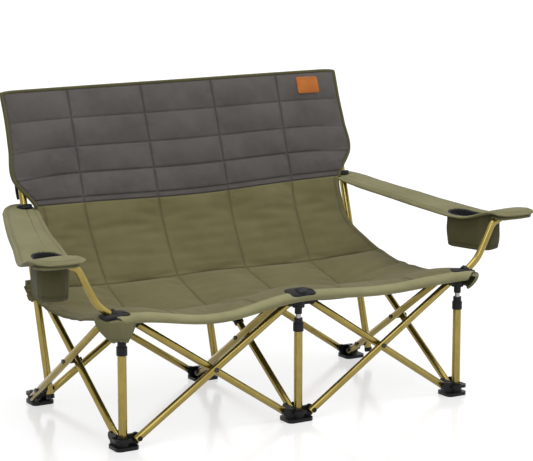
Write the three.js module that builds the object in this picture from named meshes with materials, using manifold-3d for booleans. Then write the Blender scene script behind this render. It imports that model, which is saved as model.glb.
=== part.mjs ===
// A folding two-seat camping chair with a padded sling, in millimetres: +Z is up and the front faces -Y.
import * as THREE from "three";
import { mergeVertices } from "three/addons/utils/BufferGeometryUtils.js";
import Module from "manifold-3d";

const wasm = await Module();
wasm.setup();

// Frame layout: three front posts in a row, and three rear feet in a row behind them.
const baySpan = 500; // between neighbouring posts
const pinInsetX = 36; // front and rear scissor pins, from the post lines
const pinInsetY = 40; // side scissor pins, from the front posts and the rear feet
const scissorSpan = baySpan - 2 * pinInsetX;
const frameDepth = scissorSpan + 2 * pinInsetY;
const lowPin = 27;
const highPin = 312; // with the chair open
const midPin = (lowPin + highPin) / 2;
const columns = { left: -baySpan, center: 0, right: baySpan };

// Fits and facets
const gap = 0.3; // between pieces that touch
const pinPlay = 0.4;
const weld = 1e-3;
const roundSides = 12;
const smallSides = 8;
const cornerSides = 3;

// Tubes
const barRadius = 9.5;
const barEnd = 9; // bar beyond its end pins
const barChamfer = 2.5;
const postRadius = 11;
const postWall = 2;
const postTop = 254;
const rodRadius = 6.5;
const rodBottom = 34;
const rearPostRadius = 10;
const rearPostWall = 1.5;
const rearPostPinReach = 52; // along the side bar, from its foot pin to the post's pin
const rearPostStub = 24; // post below its pin
const rearPostLength = 785; // post above its pin
const armTubeRadius = 9.5;
const armTubeSteps = 16;

// Scissor layers
const layerGap = 1; // half of the gap between two crossing bars
const barLayer = barRadius + layerGap;
const outerBarOffset = 28; // outer side bar, from the plane of its posts

// Pins and rivets
const pinRadius = 3;
const headRadius = 6.5;
const headThickness = 2.5;
const washerRadius = 7.5;

// Feet
const footBay = 37; // base towards a bay, from the post line
const footEnd = 25; // base at the chair's ends
const footOuter = 21; // base away from the chair's middle
const footInner = 38; // base towards the chair's middle
const footBase = 9;
const footCorner = 13;
const footCoreRadius = 16;
const postSeat = 5; // floor of the post's socket
const flangeBottom = 21; // upper plate of the foot
const flangeTop = 29;
const flangeReach = 20; // upper plate towards the bars
const socketRim = 2; // front post's socket above the upper plate
const socketTop = flangeTop + socketRim;

// Lugs that carry the bars' ends, on the feet and the hubs
const lugRadius = 11.5;
const lugThickness = 7.5;
const lugHalfHeight = 9; // web between a lug and its core
const earThickness = 6;

// Hubs
const hubRadius = 16;
const hubBottom = 297;
const hubTop = 328;
const neckRadius = 9.5;
const neckBottom = 280;
const rodSeat = 317; // roof of the rod's socket
const guideHalfHeight = 14; // rear hub, about its pins
const guideWall = 4.5;
const guideFront = 16.4; // rear hub's slot: from its front pin to the slot's near end
const guideSlot = 47; // length of the slot, for the post's changing slope
const guidePost = 15.2; // post's middle, from the slot's near end
const guideTop = highPin + guideHalfHeight;

// Collars on the front posts
const collarRadius = 13.5;
const collarBottom = 235;
const collarTop = 269;
const collarShoulder = 256; // the neck starts here
const collarNeckRadius = 11;

// Arm tubes, each from a front corner hub out and up to the armrest, as [outside the post line, height]
const armSocketLift = 7; // foot of the socket's line, above the hub's pins
const armSocket = { height: highPin + armSocketLift, rise: 33, seat: 8, mouth: 27, radius: 13 };
const armPath = [[62, 366], [81, 397], [99, 432], [114, 457], [138, 468.3]];

// Sling, from the front hem to the top. Each row has y, z and the width past the outer posts, the sag
// between posts along y and z, and the lift of the side edges along z. In the front rows y counts from the
// front posts, and in the rear rows from the rear feet.
const slingFront = [
  [-31, 317, 6, 0, -18, 0],
  [-29, 330, 20, 0, -19, 0],
  [-14, 336, 45, 0, -20, -4],
  [60, 330, 66, 0, -22, -8],
];
const slingRear = [
  [-358, 290, 62, 0, -20, 18],
  [-258, 272, 60, 0, -20, 30],
  [-158, 291, 56, 0, -14, 12],
  [-78, 316, 45, 2, -5, 8],
  [-50, 352, 15, 6, -3, 4],
  [-18, 404, -22, 9, 0, 2],
  [13, 462, -27, 10, 0, 0],
  [37, 532, -23, 9, 0, 0],
  [58.5, 604, 27, 8, 0, 0],
  [80, 676, 22, 7, 0, 0],
  [102, 748, 18, 5, 0, 0],
  [125, 820, 18, 3, 0, 0],
];
const fromRearFeet = ([y, ...rest]) => [frameDepth + y, ...rest];
const slingProfile = [...slingFront, ...slingRear.map(fromRearFeet)];
const seamIndex = 7; // where the seat is sewn to the back
const headIndex = 11; // where the head panel starts
const topIndex = slingProfile.length - 1;
const slingThickness = 8;
const edgePower = 10; // how closely the lift keeps to the side edges
const panelEdges = [-1, -0.638, -0.213, 0.213, 0.638, 1]; // quilt columns, as shares of the half width
const cellsPerColumn = 4;
const seatPuff = 2;
const headPuff = 5;
const headRows = 4;
const cellsPerRow = 3;
const seamGap = 0.004; // between two sewn panels, in knots
const cornerCut = 15.5; // hole round an arm tube's socket

// Armrests: strips of padded cloth from the rear posts to the arm tubes. Each row has y, the distance of
// the middle line outside the post line, the half width and the height, with y as in the sling's rows.
const armRear = [
  [88, 6, 20, 530],
  [70, 12, 33, 527],
  [32, 25, 43, 520],
  [-28, 44, 45, 508],
  [-158, 83, 52, 487],
  [-273, 112, 61, 475],
];
const armFront = [
  [100, 150, 68, 471],
  [10, 160, 74, 484.3],
  [-30, 158, 70, 484.3],
  [-46, 158, 46, 482],
];
const armProfile = [...armRear.map(fromRearFeet), ...armFront];
const armThickness = 9;
const armCells = { along: 20, across: 4 };

// Cup holders, hung from holes in the armrests
const cupRim = 520; // above the armrest over the cup
const cup = { outside: 134, y: 112, across: 76, along: 156, bottom: 373, wall: 3, corner: 26, turn: 15 };

const gold = new THREE.MeshStandardMaterial({ color: 0xa98f4a, metalness: 0.8, roughness: 0.35 });
const black = new THREE.MeshStandardMaterial({ color: 0x1c1a1f, roughness: 0.6 });
const olive = new THREE.MeshStandardMaterial({ color: 0x6e6848, roughness: 0.9 });
const grey = new THREE.MeshStandardMaterial({ color: 0x5d5855, roughness: 0.9 });

const chair = new THREE.Group();
const upY = new THREE.Vector3(0, 1, 0);

// A smooth curve through the points.
function curveThrough(points) {
  return new THREE.CatmullRomCurve3(points.map((p) => new THREE.Vector3(...p)));
}

// The solid inside any closed geometry.
function solid(geometry) {
  const bare = geometry.index ? geometry.toNonIndexed() : geometry.clone();
  bare.deleteAttribute("normal");
  bare.deleteAttribute("uv");
  const merged = mergeVertices(bare, weld);
  const corners = [...merged.index.array];
  const kept = [];
  for (let i = 0; i < corners.length; i += 3) {
    const [a, b, c] = corners.slice(i, i + 3);
    if (a !== b && b !== c && c !== a) kept.push(a, b, c);
  }
  return new wasm.Manifold(
    new wasm.Mesh({
      numProp: 3,
      vertProperties: merged.attributes.position.array,
      triVerts: new Uint32Array(kept),
    }),
  );
}

function join(...solids) {
  return solids.reduce((all, one) => all.add(one));
}

function cut(from, ...holes) {
  return holes.reduce((left, hole) => left.subtract(hole), from);
}

function add(name, made, material) {
  const data = made.getMesh();
  const geometry = new THREE.BufferGeometry();
  geometry.setAttribute("position", new THREE.BufferAttribute(new Float32Array(data.vertProperties), 3));
  geometry.setIndex(new THREE.BufferAttribute(new Uint32Array(data.triVerts), 1));
  geometry.computeVertexNormals();
  const mesh = new THREE.Mesh(geometry, material.clone());
  mesh.name = name;
  chair.add(mesh);
}

// A round bar between two points.
function rod(from, to, radius, sides = roundSides) {
  const start = new THREE.Vector3(...from);
  const end = new THREE.Vector3(...to);
  const along = end.clone().sub(start);
  const geometry = new THREE.CylinderGeometry(radius, radius, along.length(), sides);
  geometry.applyQuaternion(new THREE.Quaternion().setFromUnitVectors(upY, along.normalize()));
  geometry.translate(...start.add(end).multiplyScalar(0.5).toArray());
  return solid(geometry);
}

function block(low, high) {
  const size = high.map((h, i) => Math.abs(h - low[i]));
  const middle = high.map((h, i) => (h + low[i]) / 2);
  return solid(new THREE.BoxGeometry(...size).translate(...middle));
}

// An upright slab with rounded corners in plan.
function slab(centre, halfX, halfY, corner, bottom, top, turn = 0) {
  const shape = new THREE.Shape();
  shape.moveTo(halfX, -halfY + corner);
  shape.absarc(halfX - corner, halfY - corner, corner, 0, Math.PI / 2);
  shape.absarc(corner - halfX, halfY - corner, corner, Math.PI / 2, Math.PI);
  shape.absarc(corner - halfX, corner - halfY, corner, Math.PI, 1.5 * Math.PI);
  shape.absarc(halfX - corner, corner - halfY, corner, 1.5 * Math.PI, 2 * Math.PI);
  const settings = { depth: top - bottom, bevelEnabled: false, curveSegments: cornerSides };
  const geometry = new THREE.ExtrudeGeometry(shape, settings);
  geometry.rotateZ(THREE.MathUtils.degToRad(turn));
  return solid(geometry.translate(centre[0], centre[1], bottom));
}

// A point on the line through two points, at a distance from the first.
function onward(from, to, distance) {
  const start = new THREE.Vector3(...from);
  const direction = new THREE.Vector3(...to).sub(start).normalize();
  return start.addScaledVector(direction, distance).toArray();
}

// A hole for a pin, through a bar that the pin crosses along one axis.
function pinHole(at, axis) {
  const reach = barRadius + gap + headThickness;
  const ends = [-reach, reach].map((d) => at.map((value, i) => (i === axis ? value + d : value)));
  return rod(...ends, pinRadius + pinPlay, smallSides);
}

// A scissor bar from its foot pin to its hub pin, with holes at both pins and at the points given.
function bar(footPin, hubPin, axis, ...others) {
  const low = onward(footPin, hubPin, -barEnd);
  const high = onward(hubPin, footPin, -barEnd);
  const body = rod(onward(low, high, barChamfer), onward(high, low, barChamfer), barRadius);
  const core = rod(low, high, barRadius - barChamfer);
  return cut(join(body, core), ...[footPin, hubPin, ...others].map((at) => pinHole(at, axis)));
}

// A rivet along one axis, with a head at each end and a washer between the two pieces it joins.
function rivet(at, axis, ends, washer) {
  const place = (d) => at.map((value, i) => (i === axis ? d : value));
  const sunk = headThickness / 2;
  const shank = rod(place(ends[0] - sunk), place(ends[1] + sunk), pinRadius, smallSides);
  const heads = [[ends[0] - headThickness, ends[0]], [ends[1], ends[1] + headThickness]];
  const discs = [...heads, washer].map(([a, b], i) => {
    return rod(place(a), place(b), i < heads.length ? headRadius : washerRadius, smallSides);
  });
  return join(shank, ...discs);
}

// A lug beside a front or rear scissor bar: a round plate, a web back to the core, and a pin with a head.
function crossLug(x, y, pinX, height, layer, webBottom) {
  const face = layer * (layerGap - gap);
  const back = face - layer * lugThickness;
  const tip = layer * (barLayer + barRadius + gap);
  const side = Math.sign(pinX - x);
  const span = [face, back].sort((a, b) => a - b).map((d) => y + d);
  const plate = rod([pinX, span[0], height], [pinX, span[1], height], lugRadius);
  const webEnd = pinX + side * (lugRadius / 2);
  const web = block([x, span[0], webBottom], [webEnd, span[1], height + lugHalfHeight]);
  const top = tip + layer * headThickness;
  const pin = rod([pinX, y + back / 2, height], [pinX, y + (tip + top) / 2, height], pinRadius, smallSides);
  const head = rod([pinX, y + tip, height], [pinX, y + top, height], headRadius, smallSides);
  return join(plate, web, pin, head);
}

// A lug inside an outer side bar, with its pin and head.
function sideLug(x, y, pinY, height, webBottom) {
  const face = x - outerBarOffset + barRadius + gap;
  const back = face + lugThickness;
  const tip = x - outerBarOffset - barRadius - gap;
  const plate = rod([face, pinY, height], [back, pinY, height], lugRadius);
  const web = block([face, Math.min(y, pinY), webBottom], [back, Math.max(y, pinY), height + lugHalfHeight]);
  const tie = block([face, y - lugHalfHeight, webBottom], [x, y + lugHalfHeight, height]);
  const pin = rod([back - gap, pinY, height], [tip - headThickness / 2, pinY, height], pinRadius, smallSides);
  const head = rod([tip, pinY, height], [tip - headThickness, pinY, height], headRadius, smallSides);
  return join(plate, web, tie, pin, head);
}

// A fork round an inner side bar's end, with its pin.
function fork(x, y, pinY, height, webBottom) {
  const inside = barRadius + gap;
  const ears = [-1, 1].map((side) => {
    const edges = [side * inside, side * (inside + earThickness)].map((d) => x + d);
    const plate = rod([edges[0], pinY, height], [edges[1], pinY, height], lugRadius);
    const low = [Math.min(...edges), Math.min(y, pinY), webBottom];
    const high = [Math.max(...edges), Math.max(y, pinY), height + lugHalfHeight];
    return join(plate, block(low, high));
  });
  const reach = inside + earThickness / 2;
  return join(...ears, rod([x - reach, pinY, height], [x + reach, pinY, height], pinRadius, smallSides));
}

// Which front and rear scissor bars end at each column: the side they leave on and the layer they lie in.
// The bars that rise to the right lie in front.
const rising = -1;
const falling = 1;
const footBars = {
  left: [{ side: 1, layer: rising }],
  center: [{ side: -1, layer: falling }, { side: 1, layer: rising }],
  right: [{ side: -1, layer: falling }],
};
const hubBars = {
  left: [{ side: 1, layer: falling }],
  center: [{ side: -1, layer: rising }, { side: 1, layer: falling }],
  right: [{ side: -1, layer: rising }],
};

const frontPinY = pinInsetY;
const rearPinY = frameDepth - pinInsetY;

// A plate of a foot, reaching given distances to the left and right, outwards and inwards of the post line.
function footPlate(x, y, inner, reaches, bottom, top) {
  const [left, right, outer, inside] = reaches;
  const middle = [x + (right - left) / 2, y + (inner * (inside - outer)) / 2];
  return slab(middle, (left + right) / 2, (outer + inside) / 2, footCorner, bottom, top);
}

// A foot's two plates and its lugs; inner is the direction of the chair's middle along Y.
function footBody(x, y, inner, column) {
  const left = x < 0 ? footEnd : footBay;
  const right = x > 0 ? footEnd : footBay;
  const base = footPlate(x, y, inner, [left, right, footOuter, footInner], 0, footBase);
  const [upperLeft, upperRight] = [left, right].map((reach) => (reach === footEnd ? footEnd : flangeReach));
  const upper = [upperLeft, upperRight, footOuter, flangeReach];
  const flange = footPlate(x, y, inner, upper, flangeBottom, flangeTop);
  const lugs = footBars[column].map(({ side, layer }) => {
    return crossLug(x, y, x + side * pinInsetX, lowPin, layer, footBase - gap);
  });
  return join(base, flange, ...lugs);
}

function frontFoot(x, column) {
  const core = rod([x, 0, footBase - gap], [x, 0, socketTop], footCoreRadius);
  const carrier = fork(x, footCoreRadius / 2, frontPinY, lowPin, footBase - gap);
  const socket = rod([x, 0, postSeat], [x, 0, lowPin + lugRadius], postRadius + gap);
  return cut(join(core, footBody(x, 0, 1, column), carrier), socket);
}

function rearFoot(x, column) {
  const core = rod([x, frameDepth, footBase - gap], [x, frameDepth, flangeTop], footCoreRadius);
  const lug = sideLug(x, frameDepth, rearPinY, lowPin, footBase - gap);
  return join(core, footBody(x, frameDepth, -1, column), lug);
}

// The line of an arm tube's socket in a front corner hub, as a point at a distance along it.
function socketPoint(outward, distance) {
  const rise = THREE.MathUtils.degToRad(armSocket.rise);
  const x = outward * (baySpan + distance * Math.cos(rise));
  return [x, 0, armSocket.height + distance * Math.sin(rise)];
}

function frontHub(x, column) {
  const core = rod([x, 0, hubBottom], [x, 0, hubTop], hubRadius);
  const neck = rod([x, 0, neckBottom], [x, 0, hubBottom + gap], neckRadius);
  const lugs = hubBars[column].map(({ side, layer }) => {
    return crossLug(x, 0, x + side * pinInsetX, highPin, layer, highPin - lugHalfHeight);
  });
  const carrier = sideLug(x, 0, frontPinY, highPin, highPin - lugHalfHeight);
  const socket = rod([x, 0, neckBottom - gap], [x, 0, rodSeat], rodRadius + gap, smallSides);
  const body = join(core, neck, ...lugs, carrier);
  if (!x) return cut(body, socket);
  const outward = Math.sign(x);
  const boss = rod(socketPoint(outward, 0), socketPoint(outward, armSocket.mouth), armSocket.radius);
  const seatEnd = socketPoint(outward, armSocket.seat - gap);
  const bore = rod(seatEnd, socketPoint(outward, armSocket.mouth + gap), armTubeRadius + 3 * gap);
  return cut(join(body, boss), socket, bore);
}

function rearHub(x, column) {
  const slotStart = rearPinY + guideFront;
  const slotHalf = rearPostRadius + 2 * gap;
  const shell = slab(
    [x, slotStart + guideSlot / 2], slotHalf + guideWall, guideSlot / 2 + guideWall, footCorner / 2,
    highPin - guideHalfHeight, guideTop,
  );
  const slot = slab(
    [x, slotStart + guideSlot / 2], slotHalf, guideSlot / 2, slotHalf - gap,
    highPin - guideHalfHeight - gap, guideTop + gap,
  );
  const lugs = hubBars[column].map(({ side, layer }) => {
    const start = x + side * (slotHalf + gap);
    return crossLug(start, frameDepth, x + side * pinInsetX, highPin, layer, highPin - lugHalfHeight);
  });
  const carrier = fork(x, slotStart - guideWall / 2, rearPinY, highPin, highPin - lugHalfHeight);
  return join(cut(shell, slot), ...lugs, carrier);
}

// The rear post's pin on its outer side bar, and the point of the rear hub that the post passes through.
const barSlope = Math.atan2(scissorSpan, highPin - lowPin);
const postPin = {
  y: rearPinY - rearPostPinReach * Math.sin(barSlope),
  z: lowPin + rearPostPinReach * Math.cos(barSlope),
};
const postPass = { y: rearPinY + guideFront + guidePost, z: highPin };
const postLean = Math.atan2(postPass.y - postPin.y, postPass.z - postPin.z);

function postPoint(x, distance) {
  return [x, postPin.y + distance * Math.sin(postLean), postPin.z + distance * Math.cos(postLean)];
}

function rearPost(x) {
  const outer = rod(postPoint(x, -rearPostStub), postPoint(x, rearPostLength), rearPostRadius);
  const inner = rod(
    postPoint(x, -rearPostStub - gap), postPoint(x, rearPostLength + gap), rearPostRadius - rearPostWall,
  );
  return cut(outer, inner, pinHole(postPoint(x, 0), 0));
}

function frontPost(x) {
  const outer = rod([x, 0, postSeat + gap], [x, 0, postTop], postRadius);
  return cut(outer, rod([x, 0, postSeat], [x, 0, postTop + gap], postRadius - postWall));
}

function collar(x) {
  const wide = rod([x, 0, collarBottom], [x, 0, collarShoulder], collarRadius);
  const narrow = rod([x, 0, collarShoulder - gap], [x, 0, collarTop], collarNeckRadius);
  const postBore = rod([x, 0, collarBottom - gap], [x, 0, postTop + gap], postRadius + gap);
  const rodBore = rod([x, 0, postTop], [x, 0, collarTop + gap], rodRadius + 2 * gap, smallSides);
  return cut(join(wide, narrow), postBore, rodBore);
}

// The arm tube's path, bent outwards and up.
function armCurve(outward) {
  const start = [socketPoint(outward, armSocket.seat), socketPoint(outward, armSocket.mouth)];
  const rest = armPath.map(([outside, z]) => [outward * (baySpan + outside), 0, z]);
  return curveThrough([...start, ...rest]);
}

function armTube(outward) {
  const ring = new THREE.Shape();
  ring.absarc(0, 0, armTubeRadius, 0, 2 * Math.PI);
  const settings = {
    extrudePath: armCurve(outward), steps: armTubeSteps, curveSegments: roundSides / 2, bevelEnabled: false,
  };
  return solid(new THREE.ExtrudeGeometry(ring, settings));
}

// A closed sheet: a grid of points on its upper face and one on its lower face, joined round the edge.
function sheet(countU, countV, upper, lower) {
  const points = [];
  const faces = [];
  const rowLength = countU + 1;
  const layerLength = rowLength * (countV + 1);
  for (const face of [upper, lower]) {
    for (let j = 0; j <= countV; j++) {
      for (let i = 0; i <= countU; i++) points.push(...face(i / countU, j / countV));
    }
  }
  const at = (i, j, layer) => layer * layerLength + j * rowLength + i;
  const quad = (a, b, c, d) => faces.push(a, b, c, a, c, d);
  for (let j = 0; j < countV; j++) {
    for (let i = 0; i < countU; i++) {
      quad(at(i, j, 0), at(i + 1, j, 0), at(i + 1, j + 1, 0), at(i, j + 1, 0));
      quad(at(i, j, 1), at(i, j + 1, 1), at(i + 1, j + 1, 1), at(i + 1, j, 1));
    }
    quad(at(0, j, 0), at(0, j + 1, 0), at(0, j + 1, 1), at(0, j, 1));
    quad(at(countU, j + 1, 0), at(countU, j, 0), at(countU, j, 1), at(countU, j + 1, 1));
  }
  for (let i = 0; i < countU; i++) {
    quad(at(i, 0, 0), at(i, 0, 1), at(i + 1, 0, 1), at(i + 1, 0, 0));
    quad(at(i, countV, 0), at(i + 1, countV, 0), at(i + 1, countV, 1), at(i, countV, 1));
  }
  const geometry = new THREE.BufferGeometry();
  geometry.setAttribute("position", new THREE.Float32BufferAttribute(points, 3));
  geometry.setIndex(faces);
  return solid(geometry);
}

const slingCurves = {
  path: curveThrough(slingProfile.map(([y, z, past]) => [baySpan + past, y, z])),
  shift: curveThrough(slingProfile.map(([, , , y, z, edge]) => [edge, y, z])),
};

// A point of the sling's middle surface: across is -1 to 1, knot counts along the profile.
function slingPoint(across, knot) {
  const place = slingCurves.path.getPoint(knot / topIndex);
  const shift = slingCurves.shift.getPoint(knot / topIndex);
  const x = across * place.x;
  const sag = Math.sin((Math.PI * x) / baySpan) ** 2;
  const edge = Math.abs(across) ** edgePower * shift.x;
  return new THREE.Vector3(x, place.y + sag * shift.y, place.z + sag * shift.z + edge);
}

function slingNormal(across, knot) {
  const step = 0.01;
  const alongX = slingPoint(across + step, knot).sub(slingPoint(across - step, knot));
  const low = slingPoint(across, Math.max(knot - step, 0));
  const alongKnot = slingPoint(across, Math.min(knot + step, topIndex)).sub(low);
  return alongX.cross(alongKnot).normalize();
}

// The share across the half width, for a share of the grid that gives each quilt column equal cells.
function columnShare(u) {
  const scaled = u * (panelEdges.length - 1);
  const index = Math.min(Math.floor(scaled), panelEdges.length - 2);
  return THREE.MathUtils.lerp(panelEdges[index], panelEdges[index + 1], scaled - index);
}

// A quilted panel of the sling between two knots, puffed up between its seams. It stops short of the last
// knot by a seam, where it is cut along the next panel's end.
function slingPanel(fromKnot, toKnot, seam, rows, countV, puff) {
  const countU = (panelEdges.length - 1) * cellsPerColumn;
  const crown = (share) => Math.sqrt(Math.abs(Math.sin(Math.PI * share)));
  const side = (lift) => (u, v) => {
    const knot = THREE.MathUtils.lerp(fromKnot, toKnot, v);
    const across = columnShare(u);
    const place = slingPoint(across, knot - v * seam);
    const height = lift(crown(u * (panelEdges.length - 1)) * crown(v * rows));
    return place.addScaledVector(slingNormal(across, knot), height).toArray();
  };
  return sheet(countU, countV, side((c) => slingThickness / 2 + puff * c), side(() => -slingThickness / 2));
}

function seatPanel() {
  const cells = 16;
  const whole = slingPanel(0, seamIndex, seamGap, 1, cells, seatPuff);
  const holes = [-1, 1].map((outward) => {
    return rod(socketPoint(outward, -armSocket.mouth), socketPoint(outward, 3 * armSocket.mouth), cornerCut);
  });
  return cut(whole, ...holes);
}

const armCurves = {
  path: curveThrough(armProfile.map(([y, outside, , z]) => [baySpan + outside, y, z])),
  half: curveThrough(armProfile.map(([, , half]) => [half, 0, 0])),
};

// The armrest's middle line and half width at a share of its profile, from its rear end.
function armAt(outward, share) {
  const { x, y, z } = armCurves.path.getPoint(share);
  return { x: outward * x, y, z, half: armCurves.half.getPoint(share).x };
}

function cupSolid(outward, wall, bottom, top) {
  const middle = [outward * (baySpan + cup.outside), cup.y];
  const [halfX, halfY] = [cup.across / 2 - wall, cup.along / 2 - wall];
  return slab(middle, halfX, halfY, cup.corner - wall, bottom, top, outward * cup.turn);
}

// A strip along the armrest between two heights above its middle surface, given the share across.
function armStrip(outward, top, bottom) {
  const face = (lift) => (u, v) => {
    const at = armAt(outward, v);
    const across = THREE.MathUtils.lerp(1, -1, u);
    return [at.x + at.half * across, at.y, at.z + lift(across)];
  };
  return sheet(armCells.across, armCells.along, face(top), face(bottom));
}

function armrest(outward) {
  const top = (across) => armThickness / 2 - (armThickness / 4) * across ** 2;
  const strip = armStrip(outward, top, () => -armThickness / 2);
  const x = outward * baySpan;
  const grommet = rod(postPoint(x, 0), postPoint(x, rearPostLength), rearPostRadius + gap);
  return cut(strip, grommet, cupSolid(outward, cup.wall, cup.bottom, cupRim));
}

function cupHolder(outward) {
  const outside = cupSolid(outward, 0, cup.bottom, cupRim);
  const inside = cupSolid(outward, cup.wall, cup.bottom + cup.wall, cupRim + gap);
  const aboveRim = armStrip(outward, () => cupRim, () => -armThickness / 2 - gap);
  return cut(outside, inside, aboveRim);
}

const pinsOf = (x, y) => ({ low: [x, y, lowPin], high: [x, y, highPin] });
const acrossX = 0;
const acrossY = 1;

for (const [column, x] of Object.entries(columns)) {
  add(`foot_front_${column}`, frontFoot(x, column), black);
  add(`foot_rear_${column}`, rearFoot(x, column), black);
  add(`post_front_${column}`, frontPost(x), gold);
  add(`collar_front_${column}`, collar(x), black);
  add(`rod_front_${column}`, rod([x, 0, rodBottom], [x, 0, rodSeat - gap], rodRadius, smallSides), gold);
  add(`hub_front_${column}`, frontHub(x, column), black);
  add(`hub_rear_${column}`, rearHub(x, column), black);
  add(`post_rear_${column}`, rearPost(x), gold);

  // Side scissor of this column, with the rear post pinned to its outer bar.
  const outerX = x - outerBarOffset;
  const outerPins = [pinsOf(outerX, rearPinY).low, pinsOf(outerX, frontPinY).high];
  const centre = [outerX, (frontPinY + rearPinY) / 2, midPin];
  const postHole = postPoint(outerX, 0);
  add(`bar_side_${column}_outer`, bar(...outerPins, acrossX, centre, postHole), gold);
  const innerPins = [pinsOf(x, frontPinY).low, pinsOf(x, rearPinY).high];
  add(`bar_side_${column}_inner`, bar(...innerPins, acrossX, [x, centre[1], midPin]), gold);
  const reach = barRadius + gap;
  const ends = [outerX - reach, x + reach];
  add(`rivet_side_${column}`, rivet(centre, acrossX, ends, [outerX + reach, x - reach]), black);
  const postEnds = [outerX - reach, x + rearPostRadius + gap];
  const postWasher = [outerX + reach, x - rearPostRadius - gap];
  add(`pin_post_${column}`, rivet(postHole, acrossX, postEnds, postWasher), black);
}

const bays = { left: [columns.left, columns.center], right: [columns.center, columns.right] };
const planes = { front: 0, rear: frameDepth };
for (const [place, y] of Object.entries(planes)) {
  for (const [bay, [leftX, rightX]] of Object.entries(bays)) {
    const near = leftX + pinInsetX;
    const far = rightX - pinInsetX;
    const middle = (near + far) / 2;
    const frontY = y + rising * barLayer;
    const backY = y + falling * barLayer;
    const risingPins = [pinsOf(near, frontY).low, pinsOf(far, frontY).high];
    add(`bar_${place}_${bay}_rising`, bar(...risingPins, acrossY, [middle, frontY, midPin]), gold);
    const fallingPins = [pinsOf(far, backY).low, pinsOf(near, backY).high];
    add(`bar_${place}_${bay}_falling`, bar(...fallingPins, acrossY, [middle, backY, midPin]), gold);
    const reach = barLayer + barRadius + gap;
    const washer = [y - layerGap + gap, y + layerGap - gap];
    add(`rivet_${place}_${bay}`, rivet([middle, y, midPin], acrossY, [y - reach, y + reach], washer), black);
  }
}

for (const [side, outward] of [["left", -1], ["right", 1]]) {
  add(`arm_tube_${side}`, armTube(outward), gold);
  add(`armrest_${side}`, armrest(outward), olive);
  add(`cup_holder_${side}`, cupHolder(outward), olive);
}

const backCells = 8;
add("seat_panel", seatPanel(), olive);
add("back_panel", slingPanel(seamIndex, headIndex, seamGap, 1, backCells, seatPuff), olive);
add("head_panel", slingPanel(headIndex, topIndex, 0, headRows, headRows * cellsPerRow, headPuff), grey);

// The origin is on the floor, under the middle of the chair's box.
const box = new THREE.Box3().setFromObject(chair);
chair.position.set(-(box.min.x + box.max.x) / 2, -(box.min.y + box.max.y) / 2, -box.min.z);

export default chair;
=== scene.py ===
import math

import bmesh
import bpy
import numpy as np
from mathutils import Matrix, Vector


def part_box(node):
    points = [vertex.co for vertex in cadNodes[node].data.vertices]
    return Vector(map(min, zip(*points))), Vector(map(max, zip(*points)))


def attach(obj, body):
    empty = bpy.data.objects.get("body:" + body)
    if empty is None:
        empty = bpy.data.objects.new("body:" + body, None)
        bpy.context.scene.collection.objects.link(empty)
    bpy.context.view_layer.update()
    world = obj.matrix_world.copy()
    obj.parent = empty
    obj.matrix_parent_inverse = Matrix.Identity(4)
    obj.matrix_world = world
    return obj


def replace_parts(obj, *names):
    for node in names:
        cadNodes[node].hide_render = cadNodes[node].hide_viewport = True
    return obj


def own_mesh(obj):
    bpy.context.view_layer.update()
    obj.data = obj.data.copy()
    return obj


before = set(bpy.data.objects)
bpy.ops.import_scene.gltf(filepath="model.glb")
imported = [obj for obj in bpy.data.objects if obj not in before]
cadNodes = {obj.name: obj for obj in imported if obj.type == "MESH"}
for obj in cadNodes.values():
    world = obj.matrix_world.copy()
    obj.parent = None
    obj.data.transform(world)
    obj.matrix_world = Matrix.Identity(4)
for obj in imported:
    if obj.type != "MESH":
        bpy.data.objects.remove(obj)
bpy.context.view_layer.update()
print("frame loaded with", len(cadNodes), "nodes")

# Sizes below are millimetres in the chair's own frame: x to the right, y back from the front posts, z up.
rodLow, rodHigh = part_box("rod_front_center")
toRow = np.array([0, (rodLow.y + rodHigh.y) / 2, 0])
outwards = {"left": -1, "right": 1}
baySpan = 500
columns = {"left": -baySpan, "center": 0, "right": baySpan}
quiltColumns = 5
farOff = 200.0  # the distance that stands for no seam nearby


# materials

def addNode(tree, kind, inputs=None, **settings):
    # a node with its settings by name, and its inputs as plain values or as links from other sockets
    node = tree.nodes.new(kind)
    for key, value in settings.items():
        setattr(node, key, value)
    for key, value in (inputs or {}).items():
        if isinstance(value, bpy.types.NodeSocket):
            tree.links.new(value, node.inputs[key])
        else:
            node.inputs[key].default_value = value
    return node


def calc(tree, operation, a, b=0.0, clamp=False):
    # two values or sockets joined by the operation that is named
    return addNode(tree, "ShaderNodeMath", {0: a, 1: b}, operation=operation, use_clamp=clamp).outputs[0]


def noiseOf(tree, place, scale, detail=2.0, rough=0.5):
    # smooth noise from 0 to 1 at a place times the scale
    inputs = {"Vector": place, "Scale": scale, "Detail": detail, "Roughness": rough}
    return addNode(tree, "ShaderNodeTexNoise", inputs).outputs[0]


def spread(tree, value, low, high, toLow, toHigh):
    # a value carried in a straight line from one range to another, and held at the new range's ends
    inputs = {0: value, 1: low, 2: high, 3: toLow, 4: toHigh}
    return addNode(tree, "ShaderNodeMapRange", inputs, clamp=True).outputs[0]


def mixTones(tree, factor, a, b):
    # tone a where the factor is 0, tone b where it is 1, and straight between them
    return addNode(tree, "ShaderNodeMix", {0: factor, 6: a, 7: b}, data_type="RGBA").outputs[2]


def tint(rgb):
    # sRGB 0 to 255 to the linear colour that the shader takes
    c = np.asarray(rgb, float) / 255
    linear = np.where(c <= 0.04045, c / 12.92, ((c + 0.055) / 1.055) ** 2.4)
    return (*linear.tolist(), 1.0)


def startFinish(name):
    # a new material with its node tree and its shader
    material = bpy.data.materials.new(name)
    material.use_nodes = True
    return material, material.node_tree, material.node_tree.nodes["Principled BSDF"]


def bumpInto(tree, shader, height, strength, distance):
    # the shader's normals tilted by the slopes of a height
    bump = addNode(tree, "ShaderNodeBump", {"Height": height, "Strength": strength, "Distance": distance})
    tree.links.new(bump.outputs[0], shader.inputs["Normal"])


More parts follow.
